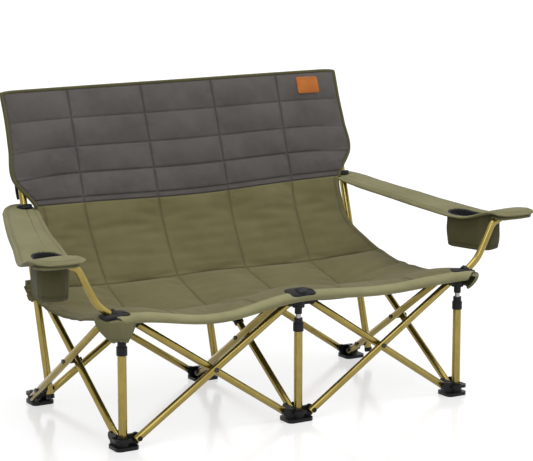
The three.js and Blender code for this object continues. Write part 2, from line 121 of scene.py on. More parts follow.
def toneOf(tree, value, look):
    # the finish's dark and light tones, mixed by where a value lies in the finish's range
    factor = spread(tree, value, *look["toneRange"], 0.0, 1.0)
    return mixTones(tree, factor, tint(look["dark"]), tint(look["light"]))


noiseMiddle = (0.3, 0.7)


def roughInto(tree, shader, noise, look):
    # roughness that follows the middle part of a noise, from less than the finish's own to more than it
    less, more = look["roughSpread"]
    rough = spread(tree, noise, *noiseMiddle, look["rough"] - less, look["rough"] + more)
    tree.links.new(rough, shader.inputs["Roughness"])


def clothFinish(name, look):
    # two tones mixed by blotches, slubs and the weave; painted shade darkens the seam grooves, with dashes
    # of thread in them.
    # The weave's height is sin(warp) * sin(weft) over the piece's own map, which is in metres.
    material, tree, shader = startFinish(name)
    place = addNode(tree, "ShaderNodeUVMap", uv_map="pieceMap").outputs[0]
    across, along, _ = addNode(tree, "ShaderNodeSeparateXYZ", {0: place}).outputs
    turn = 2 * math.pi / look["pitch"]
    warp = calc(tree, "SINE", calc(tree, "MULTIPLY", across, turn))
    weft = calc(tree, "SINE", calc(tree, "MULTIPLY", along, turn))
    weave = calc(tree, "MULTIPLY", warp, weft)
    blotch = noiseOf(tree, place, look["blotch"], 3.0, 0.6)
    slub = noiseOf(tree, place, look["slub"], 2.0)
    mixed = calc(tree, "ADD", calc(tree, "MULTIPLY", blotch, look["blotchShare"]),
                 calc(tree, "MULTIPLY", slub, look["slubShare"]))
    mixed = calc(tree, "ADD", mixed, calc(tree, "MULTIPLY", weave, look["weaveTone"]))
    tone = toneOf(tree, mixed, look)

    seams = [addNode(tree, "ShaderNodeAttribute", attribute_name=key).outputs["Fac"]
             for key in ("seamAcross", "seamAlong")]
    nearest = calc(tree, "MINIMUM", *seams)
    # painted shade: the tone is mixed towards the dark seam tone near a seam line, fading out at the seam
    # width
    shade = spread(tree, nearest, 0.0, look["seamWidth"], look["seamShade"], 0.0)
    tone = mixTones(tree, shade, tone, tint(look["seam"]))
    dashes = []
    for distance, run in zip(seams, (along, across)):
        phase = calc(tree, "FRACT", calc(tree, "MULTIPLY", run, 1 / look["stitch"]))
        dash = calc(tree, "LESS_THAN", phase, look["dash"])
        dashes.append(calc(tree, "MULTIPLY", dash, calc(tree, "LESS_THAN", distance, look["thread"])))
    stitch = calc(tree, "MAXIMUM", *dashes)
    thread = calc(tree, "MULTIPLY", stitch, look["threadShade"])
    tone = mixTones(tree, thread, tone, tint(look["threadTone"]))
    tree.links.new(tone, shader.inputs["Base Color"])
    roughInto(tree, shader, slub, look)
    height = calc(tree, "ADD", calc(tree, "MULTIPLY", weave, look["weaveHeight"]), slub)
    height = calc(tree, "ADD", height, calc(tree, "MULTIPLY", stitch, look["stitchHeight"]))
    bumpInto(tree, shader, height, look["bump"], look["bumpDepth"])
    shader.inputs["Sheen Weight"].default_value = look["sheen"]
    shader.inputs["Sheen Roughness"].default_value = look["sheenRough"]
    shader.inputs["Specular IOR Level"].default_value = look["gloss"]
    return material


clothLook = {
    "pitch": 0.0013, "blotch": 7.0, "blotchShare": 0.65, "slub": 420.0, "slubShare": 0.35, "weaveTone": 0.05,
    "toneRange": (0.36, 0.64), "rough": 0.86, "roughSpread": (0.07, 0.05), "bump": 0.35,
    "bumpDepth": 0.0004, "weaveHeight": 0.5, "stitchHeight": 1.5, "sheen": 0.12, "sheenRough": 0.5,
    # seamWidth, seamShade and the seam tone paint shade into the seam grooves; the thread keys are real
    # stitches
    "gloss": 0.25, "seamWidth": 0.0055,
    "seamShade": 0.55, "stitch": 0.0046, "dash": 0.62, "thread": 0.0006, "threadShade": 0.55,
    "dark": (104, 99, 64), "light": (119, 113, 77), "seam": (66, 62, 40), "threadTone": (134, 128, 92),
}
oliveCloth = clothFinish("oliveCloth", clothLook)
oliveTrim = clothFinish("oliveTrim", {
    **clothLook, "dark": (124, 121, 84), "light": (140, 136, 99), "seam": (88, 84, 56), "seamShade": 0.4,
})
hemCloth = clothFinish("hemCloth", {
    **clothLook, "dark": (144, 141, 101), "light": (160, 156, 117), "seam": (104, 100, 68),
    "seamShade": 0.35,
})
darkOliveCloth = clothFinish("darkOliveCloth", {
    **clothLook, "dark": (86, 82, 54), "light": (100, 96, 64), "seam": (58, 55, 36),
})
greyCloth = clothFinish("greyCloth", {
    **clothLook, "pitch": 0.0016, "slub": 300.0, "weaveTone": 0.09, "dark": (84, 79, 77),
    "light": (102, 97, 94), "seam": (52, 48, 48), "threadTone": (122, 116, 112), "seamShade": 0.7,
})
blackWebbing = clothFinish("blackWebbing", {
    **clothLook, "pitch": 0.0021, "dark": (22, 21, 24), "light": (34, 32, 36), "seam": (14, 13, 15),
    "threadTone": (52, 50, 54), "rough": 0.7, "bump": 0.6, "sheen": 0.05,
})


def tubeFinish(name, look):
    # coated metal: long faint streaks along the tube and broad patches in tone and gloss
    material, tree, shader = startFinish(name)
    place = addNode(tree, "ShaderNodeUVMap", uv_map="pieceMap").outputs[0]
    stretched = addNode(tree, "ShaderNodeMapping", {"Vector": place, "Scale": look["streaks"]}).outputs[0]
    streak = noiseOf(tree, stretched, 1.0, 2.0)
    patch = noiseOf(tree, place, look["patches"], 3.0)
    tree.links.new(toneOf(tree, calc(tree, "ADD", streak, patch), look), shader.inputs["Base Color"])
    roughInto(tree, shader, patch, look)
    bumpInto(tree, shader, streak, look["bump"], look["bumpDepth"])
    shader.inputs["Metallic"].default_value = look["metal"]
    return material


tubeLook = {
    "streaks": (900, 24, 1), "patches": 16.0, "toneRange": (0.75, 1.25), "roughSpread": (0.05, 0.07),
    "bump": 0.08, "bumpDepth": 0.0002,
}
goldTube = tubeFinish("goldTube", {
    **tubeLook, "dark": (137, 120, 60), "light": (163, 145, 80), "rough": 0.22, "metal": 0.85,
})
steelRod = tubeFinish("steelRod", {
    **tubeLook, "dark": (150, 148, 144), "light": (188, 186, 180), "rough": 0.3, "metal": 0.9,
})


def solidFinish(name, look):
    # moulded plastic, rivet steel or leather: grain and wear from the object's own coordinates
    material, tree, shader = startFinish(name)
    place = addNode(tree, "ShaderNodeTexCoord").outputs["Object"]
    grain = noiseOf(tree, place, look["grain"], 3.0)
    wear = noiseOf(tree, place, look["wear"], 4.0, 0.6)
    tree.links.new(toneOf(tree, wear, look), shader.inputs["Base Color"])
    roughInto(tree, shader, wear, look)
    bumpInto(tree, shader, grain, look["bump"], look["bumpDepth"])
    shader.inputs["Metallic"].default_value = look["metal"]
    shader.inputs["Specular IOR Level"].default_value = look["gloss"]
    return material


solidLook = {"toneRange": (0.4, 0.7), "roughSpread": (0.06, 0.08), "bumpDepth": 0.0003}
blackPlastic = solidFinish("blackPlastic", {
    **solidLook, "dark": (15, 14, 17), "light": (24, 23, 27), "grain": 900.0, "wear": 26.0, "rough": 0.4,
    "bump": 0.25, "metal": 0.0, "gloss": 0.22,
})
rivetSteel = solidFinish("rivetSteel", {
    **solidLook, "dark": (44, 41, 40), "light": (72, 68, 64), "grain": 700.0, "wear": 40.0, "rough": 0.38,
    "bump": 0.15, "metal": 0.7, "gloss": 0.5,
})
tanLeather = solidFinish("tanLeather", {
    **solidLook, "dark": (178, 100, 36), "light": (196, 118, 46), "grain": 620.0, "wear": 24.0,
    "rough": 0.55, "bump": 0.5, "metal": 0.0, "gloss": 0.3,
})


# mesh helpers

meshing = {"mergeWithin": 2e-6, "dissolveWithin": 1e-7}


def makePiece(name, points, faces, finish, body, pieceMap=None, marks=None, sharpAngle=50):
    # points in chair millimetres, faces as rows of four corners; doubles are merged, so poles and
    # closing columns are one set of points. The faces are turned over if the volume comes out negative.
    points = np.asarray(points, float).reshape(-1, 3)
    corners = points[faces]
    volume = np.einsum("ij,ij->i", corners[:, 0], np.cross(corners[:, 1], corners[:, 2])).sum()
    volume += np.einsum("ij,ij->i", corners[:, 0], np.cross(corners[:, 2], corners[:, 3])).sum()
    if volume < 0:
        faces = faces[:, ::-1]
    mesh = bpy.data.meshes.new(name)
    mesh.from_pydata((points / 1000 + toRow).tolist(), [], faces.tolist())
    if pieceMap is not None:
        layer = mesh.uv_layers.new(name="pieceMap")
        spots = np.asarray(pieceMap, float).reshape(-1, 2)[faces.reshape(-1)] / 1000
        layer.data.foreach_set("uv", spots.reshape(-1))
    noSeam = np.full(len(points), farOff)
    for key in ("seamAcross", "seamAlong"):
        values = np.asarray((marks or {}).get(key, noSeam), float).reshape(-1) / 1000
        mesh.attributes.new(key, "FLOAT", "POINT").data.foreach_set("value", values)
    work = bmesh.new()
    work.from_mesh(mesh)
    bmesh.ops.remove_doubles(work, verts=work.verts, dist=meshing["mergeWithin"])
    bmesh.ops.dissolve_degenerate(work, edges=work.edges, dist=meshing["dissolveWithin"])
    work.to_mesh(mesh)
    work.free()
    mesh.shade_smooth()
    mesh.set_sharp_from_angle(angle=math.radians(sharpAngle))
    mesh.materials.append(finish)
    piece = bpy.data.objects.new(name, mesh)
    bpy.context.collection.objects.link(piece)
    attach(piece, body)
    return piece


def twice(values):
    # the same values for the front grid and the back grid of a shell
    return np.stack([values, values])


def gridFaces(rows, cols, start=0):
    # one face between each four neighbouring points of a grid
    first = np.arange(rows - 1)[:, None] * cols + np.arange(cols - 1)[None, :] + start
    return np.stack([first, first + 1, first + 1 + cols, first + cols], -1).reshape(-1, 4)


def shellFaces(rows, cols):
    # two grids, one over the other, and the four rims that join them
    upper = np.arange(rows * cols).reshape(rows, cols)
    lower = upper + rows * cols
    rims = [
        (upper[0, 1:], upper[0, :-1], lower[0, :-1], lower[0, 1:]),
        (upper[-1, :-1], upper[-1, 1:], lower[-1, 1:], lower[-1, :-1]),
        (upper[:-1, 0], upper[1:, 0], lower[1:, 0], lower[:-1, 0]),
        (upper[1:, -1], upper[:-1, -1], lower[:-1, -1], lower[1:, -1]),
    ]
    joined = [np.stack(rim, -1) for rim in rims]
    return np.concatenate([gridFaces(rows, cols), gridFaces(rows, cols, rows * cols)[:, ::-1], *joined])


def normalsOf(grid):
    # unit normals of a grid: columns run to the right and rows run back or up, so they face up or forwards
    slopeV, slopeU = np.gradient(grid, axis=(0, 1))
    normal = np.cross(slopeU, slopeV)
    return normal / np.maximum(np.linalg.norm(normal, axis=-1, keepdims=True), 1e-9)


def runOf(grid):
    # the map of a grid: distance run along its columns and rows, from the middle column and the first row
    stepU = np.linalg.norm(np.diff(grid, axis=1), axis=-1)
    stepV = np.linalg.norm(np.diff(grid, axis=0), axis=-1)
    runU = np.concatenate([np.zeros((len(grid), 1)), np.cumsum(stepU, 1)], 1)
    runU = runU - runU[:, [grid.shape[1] // 2]]
    runV = np.concatenate([np.zeros((1, grid.shape[1])), np.cumsum(stepV, 0)], 0)
    return np.stack([runU, runV], -1)


def splineThrough(table, at):
    # a centripetal curve through the table's rows, read at row numbers with fractions: each stretch is the
    # cubic whose end slopes come from the square roots of the distances to the neighbouring rows
    rows = np.asarray(table, float)
    rows = np.vstack([2 * rows[0] - rows[1], rows, 2 * rows[-1] - rows[-2]])
    index = np.clip(np.floor(at).astype(int), 0, len(rows) - 4)
    share = (np.asarray(at, float) - index)[..., None]
    p0, p1, p2, p3 = (rows[index + i] for i in range(4))
    d0, d1, d2 = (
        np.sqrt(np.maximum(np.linalg.norm(b - a, axis=-1, keepdims=True), 1e-4))
        for a, b in ((p0, p1), (p1, p2), (p2, p3))
    )
    m1 = d1 * ((p1 - p0) / d0 - (p2 - p0) / (d0 + d1) + (p2 - p1) / d1)
    m2 = d1 * ((p2 - p1) / d1 - (p3 - p1) / (d1 + d2) + (p3 - p2) / d2)
    curve = -3 * p1 + 3 * p2 - 2 * m1 - m2 + share * (2 * p1 - 2 * p2 + m1 + m2)
    return p1 + share * (m1 + share * curve)


def thinSheet(name, middle, half, finish, body, normal=None, run=None, **seams):
    # one layer of cloth: a surface moved out and back along its normals by half of the cloth's thickness
    normal = normalsOf(middle) if normal is None else normal
    run = runOf(middle) if run is None else run
    points = np.stack([middle + normal * half, middle - normal * half])
    marks = {key: twice(values) for key, values in seams.items()}
    return makePiece(name, points, shellFaces(*middle.shape[:2]), finish, body, twice(run), marks)


def lengthsAlong(line):
    # the distance run along a line at each of its points
    return np.concatenate([[0], np.cumsum(np.linalg.norm(np.diff(line, axis=0), axis=1))])


def ramp(value, start, end):
    # 0 up to the start, 1 from the end on, and a straight line between them
    return np.clip((value - start) / (end - start), 0, 1)


def groove(distance, width):
    # a bell: 1 on a line, falling by the square of the distance from it
    return np.exp(-(distance / width) ** 2)


def quarterRound(distance, radius, least):
    # a quarter circle that rises from an edge and is flat from its radius on, cut off below the least height
    return np.sqrt(np.clip(1 - (1 - np.clip(distance / radius, 0, 1)) ** 2, least, 1))


def blunt(value, power):
    # a power of the size with the sign kept, which squares up a circle's sine and cosine
    return np.sign(value) * np.abs(value) ** power


def ringOf(radius, count=28):
    # a circle as a closed ring
    angle = np.linspace(0, 2 * math.pi, count + 1)
    return radius * np.stack([np.cos(angle), np.sin(angle)], -1)


def roundedRing(halfA, halfB, corner, count=6):
    # a rectangle with rounded corners, as a closed ring
    quarter = np.linspace(0, math.pi / 2, count)
    arc = corner * np.stack([np.cos(quarter), np.sin(quarter)], -1)
    spots = []
    for signs, turn in (((1, 1), 0), ((-1, 1), 1), ((-1, -1), 2), ((1, -1), 3)):
        c, s = round(math.cos(turn * math.pi / 2)), round(math.sin(turn * math.pi / 2))
        turned = arc @ np.array([[c, s], [-s, c]])
        spots.append(turned + np.array(signs) * (halfA - corner, halfB - corner))
    ring = np.concatenate(spots)
    return np.vstack([ring, ring[:1]])


def sweep(path, ring, up, scale=None, closed=False):
    # a ring carried along a path: its first axis lies square to the path and to up, its second along up.
    # An open path is closed at its ends by rings of no size.
    path = np.asarray(path, float)
    if closed:
        ahead = np.roll(path, -1, 0) - np.roll(path, 1, 0)
    else:
        ahead = np.gradient(path, axis=0)
    ahead /= np.linalg.norm(ahead, axis=-1, keepdims=True)
    side = np.cross(ahead, np.broadcast_to(np.asarray(up, float), path.shape))
    side /= np.linalg.norm(side, axis=-1, keepdims=True)
    lift = np.cross(side, ahead)
    size = np.ones(len(path)) if scale is None else np.asarray(scale, float)
    grid = path[:, None] + size[:, None, None] * (
        side[:, None] * ring[None, :, :1] + lift[:, None] * ring[None, :, 1:])
    if closed:
        grid = np.concatenate([grid, grid[:1]])
    else:
        ends = [np.repeat(path[i][None, None], len(ring), 1) for i in (0, -1)]
        grid = np.concatenate([ends[0], grid, ends[1]])
    return grid


def sweptPiece(name, path, ring, up, finish, body, scale=None, closed=False):
    # a piece whose grid is a ring carried along a path
    grid = sweep(path, ring, up, scale, closed)
    return makePiece(name, grid, gridFaces(*grid.shape[:2]), finish, body, runOf(grid))


def lathe(start, along, stations, count=32):
    # rings about a straight line: each station is the distance along it and the radius there
    axis = np.asarray(along, float) / np.linalg.norm(along)
    side = np.cross(axis, (0, 0, 1) if abs(axis[2]) < 0.9 else (0, 1, 0))
    side /= np.linalg.norm(side)
    lift = np.cross(axis, side)
    ring = ringOf(1.0, count)
    spin = ring[:, :1] * side + ring[:, 1:] * lift
    distance, radius = np.asarray(stations, float).T
    return np.asarray(start, float) + distance[:, None, None] * axis + radius[:, None, None] * spin[None]


def lathePiece(name, start, along, stations, finish, body):
    # a piece whose grid is rings about a straight line
    grid = lathe(start, along, stations)
    return makePiece(name, grid, gridFaces(*grid.shape[:2]), finish, body, runOf(grid), sharpAngle=40)


def roundedBar(length, radius, ease):
    # stations of a bar with eased ends: each edge is three points of a rounded corner
    turn = ease * 0.3
    return [(0, 0), (0, radius - ease), (turn, radius - turn), (ease, radius), (length / 2, radius),
            (length - ease, radius), (length - turn, radius - turn), (length, radius - ease), (length, 0)]


def ripples(u, v, reach, height, seed, count=7):
    # a few long waves in drawn directions, added up
    draw = np.random.default_rng(seed)
    heading = draw.uniform(0, 2 * math.pi, count)
    wave = reach * draw.uniform(0.6, 1.6, count)
    phase = draw.uniform(0, 2 * math.pi, count)
    run = u[..., None] * np.cos(heading) + v[..., None] * np.sin(heading)
    return height / math.sqrt(count) * np.sin(2 * math.pi * run / wave + phase).sum(-1)


# tubes

tubes = {
    "lowPin": 27, "highPin": 312, "insetX": 36, "insetY": 40, "depth": 508, "barRadius": 9.5, "barEnd": 9,
    "barLayer": 10.5, "outerOffset": 28, "postRadius": 11, "postBottom": 5.3, "postTop": 254,
    "rodRadius": 6.5, "rodBottom": 34, "rodTop": 316.7, "rearRadius": 10, "rearStub": 24, "rearLength": 785,
    "rearPinReach": 52, "passY": 499.6, "ease": 2.2,
}
low, high = tubes["lowPin"], tubes["highPin"]
frontPinY, rearPinY = tubes["insetY"], tubes["depth"] - tubes["insetY"]
barSlope = math.atan2(rearPinY - frontPinY, high - low)
postPin = np.array([0, rearPinY - tubes["rearPinReach"] * math.sin(barSlope),
                    low + tubes["rearPinReach"] * math.cos(barSlope)])
postAxis = np.array([0, tubes["passY"] - postPin[1], high - postPin[2]])
postAxis /= np.linalg.norm(postAxis)


def postAtHeight(x, height):
    # the middle of a rear post at a height above the floor
    return np.array([x, 0, 0]) + postPin + (height - postPin[2]) / postAxis[2] * postAxis


def addTube(node, body, start, end, radius, finish=goldTube, past=0):
    # a round tube in place of a frame node, reaching past both of its end points
    start, end = np.asarray(start, float), np.asarray(end, float)
    along = (end - start) / np.linalg.norm(end - start)
    length = np.linalg.norm(end - start) + 2 * past
    stations = roundedBar(length, radius, tubes["ease"])
    piece = lathePiece(node + "_tube", start - past * along, along, stations, finish, body)
    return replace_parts(piece, node)


for column, x in columns.items():
    outerX = x - tubes["outerOffset"]
    addTube(f"bar_side_{column}_outer", f"bar_side_{column}_outer", (outerX, rearPinY, low),
            (outerX, frontPinY, high), tubes["barRadius"], past=tubes["barEnd"])
    addTube(f"bar_side_{column}_inner", f"bar_side_{column}_inner", (x, frontPinY, low),
            (x, rearPinY, high), tubes["barRadius"], past=tubes["barEnd"])
    addTube(f"post_front_{column}", f"base_{column}", (x, 0, tubes["postBottom"]), (x, 0, tubes["postTop"]),
            tubes["postRadius"])
    addTube(f"rod_front_{column}", f"hub_front_{column}", (x, 0, tubes["rodBottom"]),
            (x, 0, tubes["rodTop"]), tubes["rodRadius"], steelRod)
    foot = np.array([x, 0, 0]) + postPin
    addTube(f"post_rear_{column}", f"post_rear_{column}", foot - tubes["rearStub"] * postAxis,
            foot + tubes["rearLength"] * postAxis, tubes["rearRadius"])

for place, y in (("front", 0), ("rear", tubes["depth"])):
    for bay, leftX in (("left", -baySpan), ("right", 0)):
        near, far = leftX + tubes["insetX"], leftX + baySpan - tubes["insetX"]
        for kind, layer, footX, hubX in (("rising", -1, near, far), ("falling", 1, far, near)):
            node = f"bar_{place}_{bay}_{kind}"
            depth = y + layer * tubes["barLayer"]
            addTube(node, node, (footX, depth, low), (hubX, depth, high), tubes["barRadius"],
                    past=tubes["barEnd"])

armTube = {
    "radius": 9.5, "socket": 319, "rise": 33, "seat": 8, "mouth": 27, "steps": 72,
    "bends": [(562, 366), (581, 397), (599, 432), (614, 457), (638, 468.3)],
}


def socketPoint(outward, distance):
    # a point of the arm tube's straight start, out of the corner hub
    rise = math.radians(armTube["rise"])
    out = baySpan + distance * math.cos(rise)
    return (outward * out, 0, armTube["socket"] + distance * math.sin(rise))


for side, outward in outwards.items():
    route = [socketPoint(outward, armTube["seat"]), socketPoint(outward, armTube["mouth"])]
    route += [(outward * x, 0, z) for x, z in armTube["bends"]]
    path = splineThrough(route, np.linspace(0, len(route) - 1, armTube["steps"]))
    node = f"arm_tube_{side}"
    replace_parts(sweptPiece(node + "_bent", path, ringOf(armTube["radius"]), (0, 1, 0), goldTube,
                           f"hub_front_{side}"), node)
print("tubes made")


# sling: one surface from the front hem to the top, read by the share across and the row of the profile

sling = {
    # y, z and half width at the posts, sag between posts along y and z, lift of the side edges
    "profile": np.array([
        [-31, 317, 506, 0, -18, 0], [-29, 330, 520, 0, -19, 0], [-14, 336, 545, 0, -20, -4],
        [60, 330, 566, 0, -22, -8], [150, 290, 562, 0, -20, 18], [250, 272, 560, 0, -20, 30],
        [350, 291, 556, 0, -14, 12], [430, 316, 545, 2, -5, 8], [458, 352, 515, 6, -3, 4],
        [490, 404, 478, 9, 0, 2], [521, 462, 473, 10, 0, 0], [545, 532, 477, 9, 0, 0],
        [566.5, 604, 527, 8, 0, 0], [588, 676, 522, 7, 0, 0], [610, 748, 518, 5, 0, 0],
        [633, 820, 518, 3, 0, 0],
    ], float),
    "edgePower": 10, "seam": 7, "head": 11, "top": 15, "thickness": 8,
    # edges that round off, seams and hems drawn in, and the edge left where two panels are sewn together
    "edgeRound": 7, "edgeLeast": 0.06, "seamWidth": 2.4, "hemWidth": 2.5, "hemDepth": 0.8, "sewnEdge": 0.4,
    # seams between the quilt columns: rows of the profile, and the four seams' x there
    "seamRows": [0, 7, 11, 15],
    "seamX": [[-378, -325, -333, -329], [-140, -114, -112, -112], [128, 98, 106, 106], [362, 309, 317, 318]],
    # how the cloth hangs: the front edge's sag in each bay as a share of the profile's, the drop of the seam
    # under the quilt in rows, at the sides and more in the middle, and the head's rise to the right and its
    # lean to the left
    "leftSag": 1.5, "rightSag": 0.6, "sagRows": (4, 2.5), "seamDrop": 0.13, "seamSag": 0.15, "sagSpan": 0.9,
    "dropFrom": 8, "tilt": 0.011, "lean": 8,
    # rows over which a panel's crown rises from its first seam and falls to its last one
    "crownRows": (0.5, 0.4),
}


def slingAt(x, row):
    # the middle surface: the profile's curve at that row, lowered between posts by sin squared of x and
    # raised at the side edges by a high power of the share across. Rows near the quilt's lower seam are read
    # further down, by more in the middle as cos squared, and the head is tilted and leans.
    x, row = np.broadcast_arrays(x, row)
    head, top = sling["head"], sling["top"]
    nearSeam = np.minimum(ramp(row, sling["dropFrom"], head), ramp(row, top, head))
    sagTurn = sling["sagSpan"] * math.pi * x / (2 * baySpan)
    drop = sling["seamDrop"] + sling["seamSag"] * np.cos(sagTurn) ** 2
    row = row - nearSeam * drop
    path = splineThrough(sling["profile"][:, [2, 0, 1]], row)
    shift = splineThrough(sling["profile"][:, [5, 3, 4]], row)
    sag = np.sin(math.pi * x / baySpan) ** 2
    bay = 1 + ramp(row, *sling["sagRows"]) * (np.where(x < 0, sling["leftSag"], sling["rightSag"]) - 1)
    edge = np.abs(x / path[..., 0]) ** sling["edgePower"]
    tilt = sling["tilt"] * x * ramp(row, sling["seam"], head)
    lift = sag * bay * shift[..., 2] + edge * shift[..., 0] + tilt
    lean = sling["lean"] * (1 - x / (2 * baySpan)) * ramp(row, head, top)
    return np.stack([x - lean, path[..., 1] + sag * shift[..., 1], path[..., 2] + lift], -1)


def halfAt(row):
    # half of the sling's width, by the profile's curve at that row
    return splineThrough(sling["profile"][:, [2, 0, 1]], row)[..., 0]


def easedSteps(edges, count):
    # points from edge to edge, closer together near each edge
    share = 0.5 - 0.5 * np.cos(np.linspace(0, math.pi, count + 1))[:-1]
    parts = [a + (b - a) * share for a, b in zip(edges[:-1], edges[1:])]
    return np.concatenate([*parts, [edges[-1]]])


def slingGrid(rows, place, margin=0.0):
    # x of every grid point, for places counted in quilt columns from the left, and its distances from the
    # nearest seam line and from the side edge
    half = (halfAt(rows) - margin)[:, None]
    lines = np.stack([np.interp(rows, sling["seamRows"], seam) for seam in sling["seamX"]], 1)
    edges = np.concatenate([-half, lines, half], 1)
    index = np.minimum(place.astype(int), quiltColumns - 1)
    x = edges[:, index] + (edges[:, index + 1] - edges[:, index]) * (place - index)
    toSeam = np.abs(x[..., None] - lines[:, None]).min(-1)
    return x, toSeam, half - np.abs(x)


trialSettings = {"quality": 6, "tension": 15, "shear": 5}


def settleCloth(grid, sewn, padding):
    # the padded panel as loose cloth, held where it is sewn: a trial mesh of the grid is blown up a little
    # from behind, with more cloth than the panel has room for, and the settled grid is read back
    mesh = bpy.data.meshes.new("trialCloth")
    mesh.from_pydata((grid.reshape(-1, 3) / 1000).tolist(), [], gridFaces(*grid.shape[:2]).tolist())
    trial = bpy.data.objects.new("trialCloth", mesh)
    bpy.context.collection.objects.link(trial)
    held = trial.vertex_groups.new(name="sewn")
    held.add(np.flatnonzero(sewn).tolist(), 1.0, "REPLACE")
    cloth = trial.modifiers.new("trialCloth", "CLOTH")
    cloth.settings.vertex_group_mass = "sewn"
    cloth.settings.quality = trialSettings["quality"]
    cloth.settings.tension_stiffness = trialSettings["tension"]
    cloth.settings.compression_stiffness = trialSettings["tension"]
    cloth.settings.shear_stiffness = trialSettings["shear"]
    cloth.settings.bending_stiffness = padding["stiffness"]
    cloth.settings.use_pressure = True
    cloth.settings.uniform_pressure_force = padding["pressure"]
    cloth.settings.shrink_min = -padding["spare"]
    cloth.settings.effector_weights.gravity = 0
    cloth.collision_settings.use_collision = False
    cloth.point_cache.frame_start, cloth.point_cache.frame_end = 1, padding["frames"]
    for step in range(1, padding["frames"] + 1):
        bpy.context.scene.frame_set(step)
    settled = trial.evaluated_get(bpy.context.evaluated_depsgraph_get()).data
    spots = np.empty(grid.size, np.float32)
    settled.vertices.foreach_get("co", spots)
    bpy.data.objects.remove(trial)
    bpy.data.meshes.remove(mesh)
    bpy.context.scene.frame_set(1)
    move = spots.reshape(grid.shape).astype(float) * 1000 - grid
    reach = np.maximum(np.linalg.norm(move, axis=-1, keepdims=True), 1e-6)
    return grid + move * np.minimum(1, padding["cap"] / reach)


def settledLift(rows, place, fineRows, finePlace, margin, crown, sewnRows, padding):
    # the height of the settled cloth over the sling, worked out on a coarse grid and read on the fine one.
    # The coarse cloth starts crowned in each cell by sines along and across.
    x, _, _ = slingGrid(rows, place, margin)
    surface = slingAt(x, rows[:, None])
    normal = normalsOf(surface)
    alongRows = np.interp(rows, *sewnRows)[:, None]
    start = crown * np.abs(np.sin(math.pi * place))[None] * alongRows
    sewn = (np.abs(place - np.round(place)) < 1e-6)[None] | (alongRows < 1e-6)
    settled = settleCloth(surface + normal * start[..., None], sewn, padding)
    lift = ((settled - surface) * normal).sum(-1)
    lift = splineThrough(lift, np.interp(fineRows, rows, np.arange(len(rows))))
    return splineThrough(lift.T, np.interp(finePlace, place, np.arange(len(place)))).T


def panelLift(panel, startRow, endRow, rows, place):
    # the settled height of a panel between two seams, which is crowned a little way in from both
    rise, fall = sling["crownRows"]
    crowned = ([startRow, startRow + rise, endRow - fall, endRow], [0, 1, 1, 0])
    trialRows, trialColumns = panel["trialGrid"]
    return settledLift(np.linspace(startRow, endRow, trialRows), np.linspace(0, quiltColumns, trialColumns),
                       rows, place, 0, panel["crown"], crowned, panel["padding"])


def clothShell(name, surface, lift, thickness, finish, body, toEdge, seamAcross, seamAlong):
    # a padded sheet: the middle surface moved out by half its thickness and the lift, and back by half its
    # thickness; both ease together near the edge
    normal = normalsOf(surface)
    ease = quarterRound(toEdge, sling["edgeRound"], sling["edgeLeast"])
    half = ease * thickness / 2
    front = surface + normal * (half + ease * lift)[..., None]
    back = surface - normal * half[..., None]
    marks = {"seamAcross": twice(seamAcross), "seamAlong": twice(seamAlong)}
    piece = makePiece(name, np.stack([front, back]), shellFaces(*surface.shape[:2]), finish, body,
                      twice(runOf(surface)), marks)
    return piece, front


def foldAcross(piece):
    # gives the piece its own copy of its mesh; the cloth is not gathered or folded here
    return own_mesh(piece)


seat = {
    "crown": 3.0, "groove": 1.5, "startRow": 1.5, "startRows": 6, "hemRow": 2.0, "hemGroove": 0.7,
    "underHem": -1.2, "sideHem": 20, "perColumn": 32, "rows": 104, "crowding": 1.25, "trialGrid": (64, 121),
    "crossEase": 1.5,
    # waves of the side edges: reach, height and seed, how they fade inwards and the row they start at
    "waves": (60, 2.2, 4), "waveFade": 16, "waveRow": 2.6,
    "padding": {"pressure": 9.0, "spare": 0.005, "stiffness": 5.0, "frames": 16, "cap": 9.0},
}


def makeSeat():
    # from under the hem to the cross seam, with rows closer together at both. The settled cloth is drawn in
    # by a bell at each seam, and its side edges wave up and down.
    hemRow, seamRow = seat["hemRow"], sling["seam"]
    share = 1 - (1 - np.linspace(0, 1, seat["rows"])) ** seat["crowding"]
    rows = np.concatenate([np.linspace(seat["startRow"], hemRow, seat["startRows"])[:-1],
                           hemRow + (seamRow - hemRow) * share])
    place = easedSteps(np.arange(quiltColumns + 1.0), seat["perColumn"])
    x, toSeam, toSide = slingGrid(rows, place)
    surface = slingAt(x, rows[:, None])
    run = runOf(surface)
    toCross = run[-1:, :, 1] - run[..., 1]
    hemRun = run[np.abs(rows - hemRow).argmin(), :, 1]
    toHem = np.abs(run[..., 1] - hemRun[None])
    lift = panelLift(seat, hemRow, seamRow, np.maximum(rows, hemRow), place)
    behindHem = (rows >= hemRow)[:, None]
    sewnIn = groove(toSeam, sling["seamWidth"]) * behindHem
    lift -= seat["groove"] * (sewnIn + seat["hemGroove"] * groove(toHem, sling["hemWidth"]))
    lift = np.where(behindHem, lift, seat["underHem"])
    sideHem = np.abs(toSide - seat["sideHem"])
    lift -= sling["hemDepth"] * groove(sideHem, sling["hemWidth"])
    sideWaves = ripples(run[..., 1], 0 * run[..., 0], *seat["waves"])
    surface[..., 2] += sideWaves * np.exp(-toSide / seat["waveFade"]) * (rows > seat["waveRow"])[:, None]
    toEdge = np.minimum(np.minimum(toSide, run[..., 1]), toCross + sling["sewnEdge"])
    across = np.minimum(toSeam + farOff * ~behindHem, sideHem)
    along = np.minimum(toHem, toCross + seat["crossEase"])
    piece, _ = clothShell("seatCloth", surface, lift, sling["thickness"], oliveCloth, "seat", toEdge,
                          across, along)
    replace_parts(piece, "seat_panel")
    foldAcross(piece)


makeSeat()

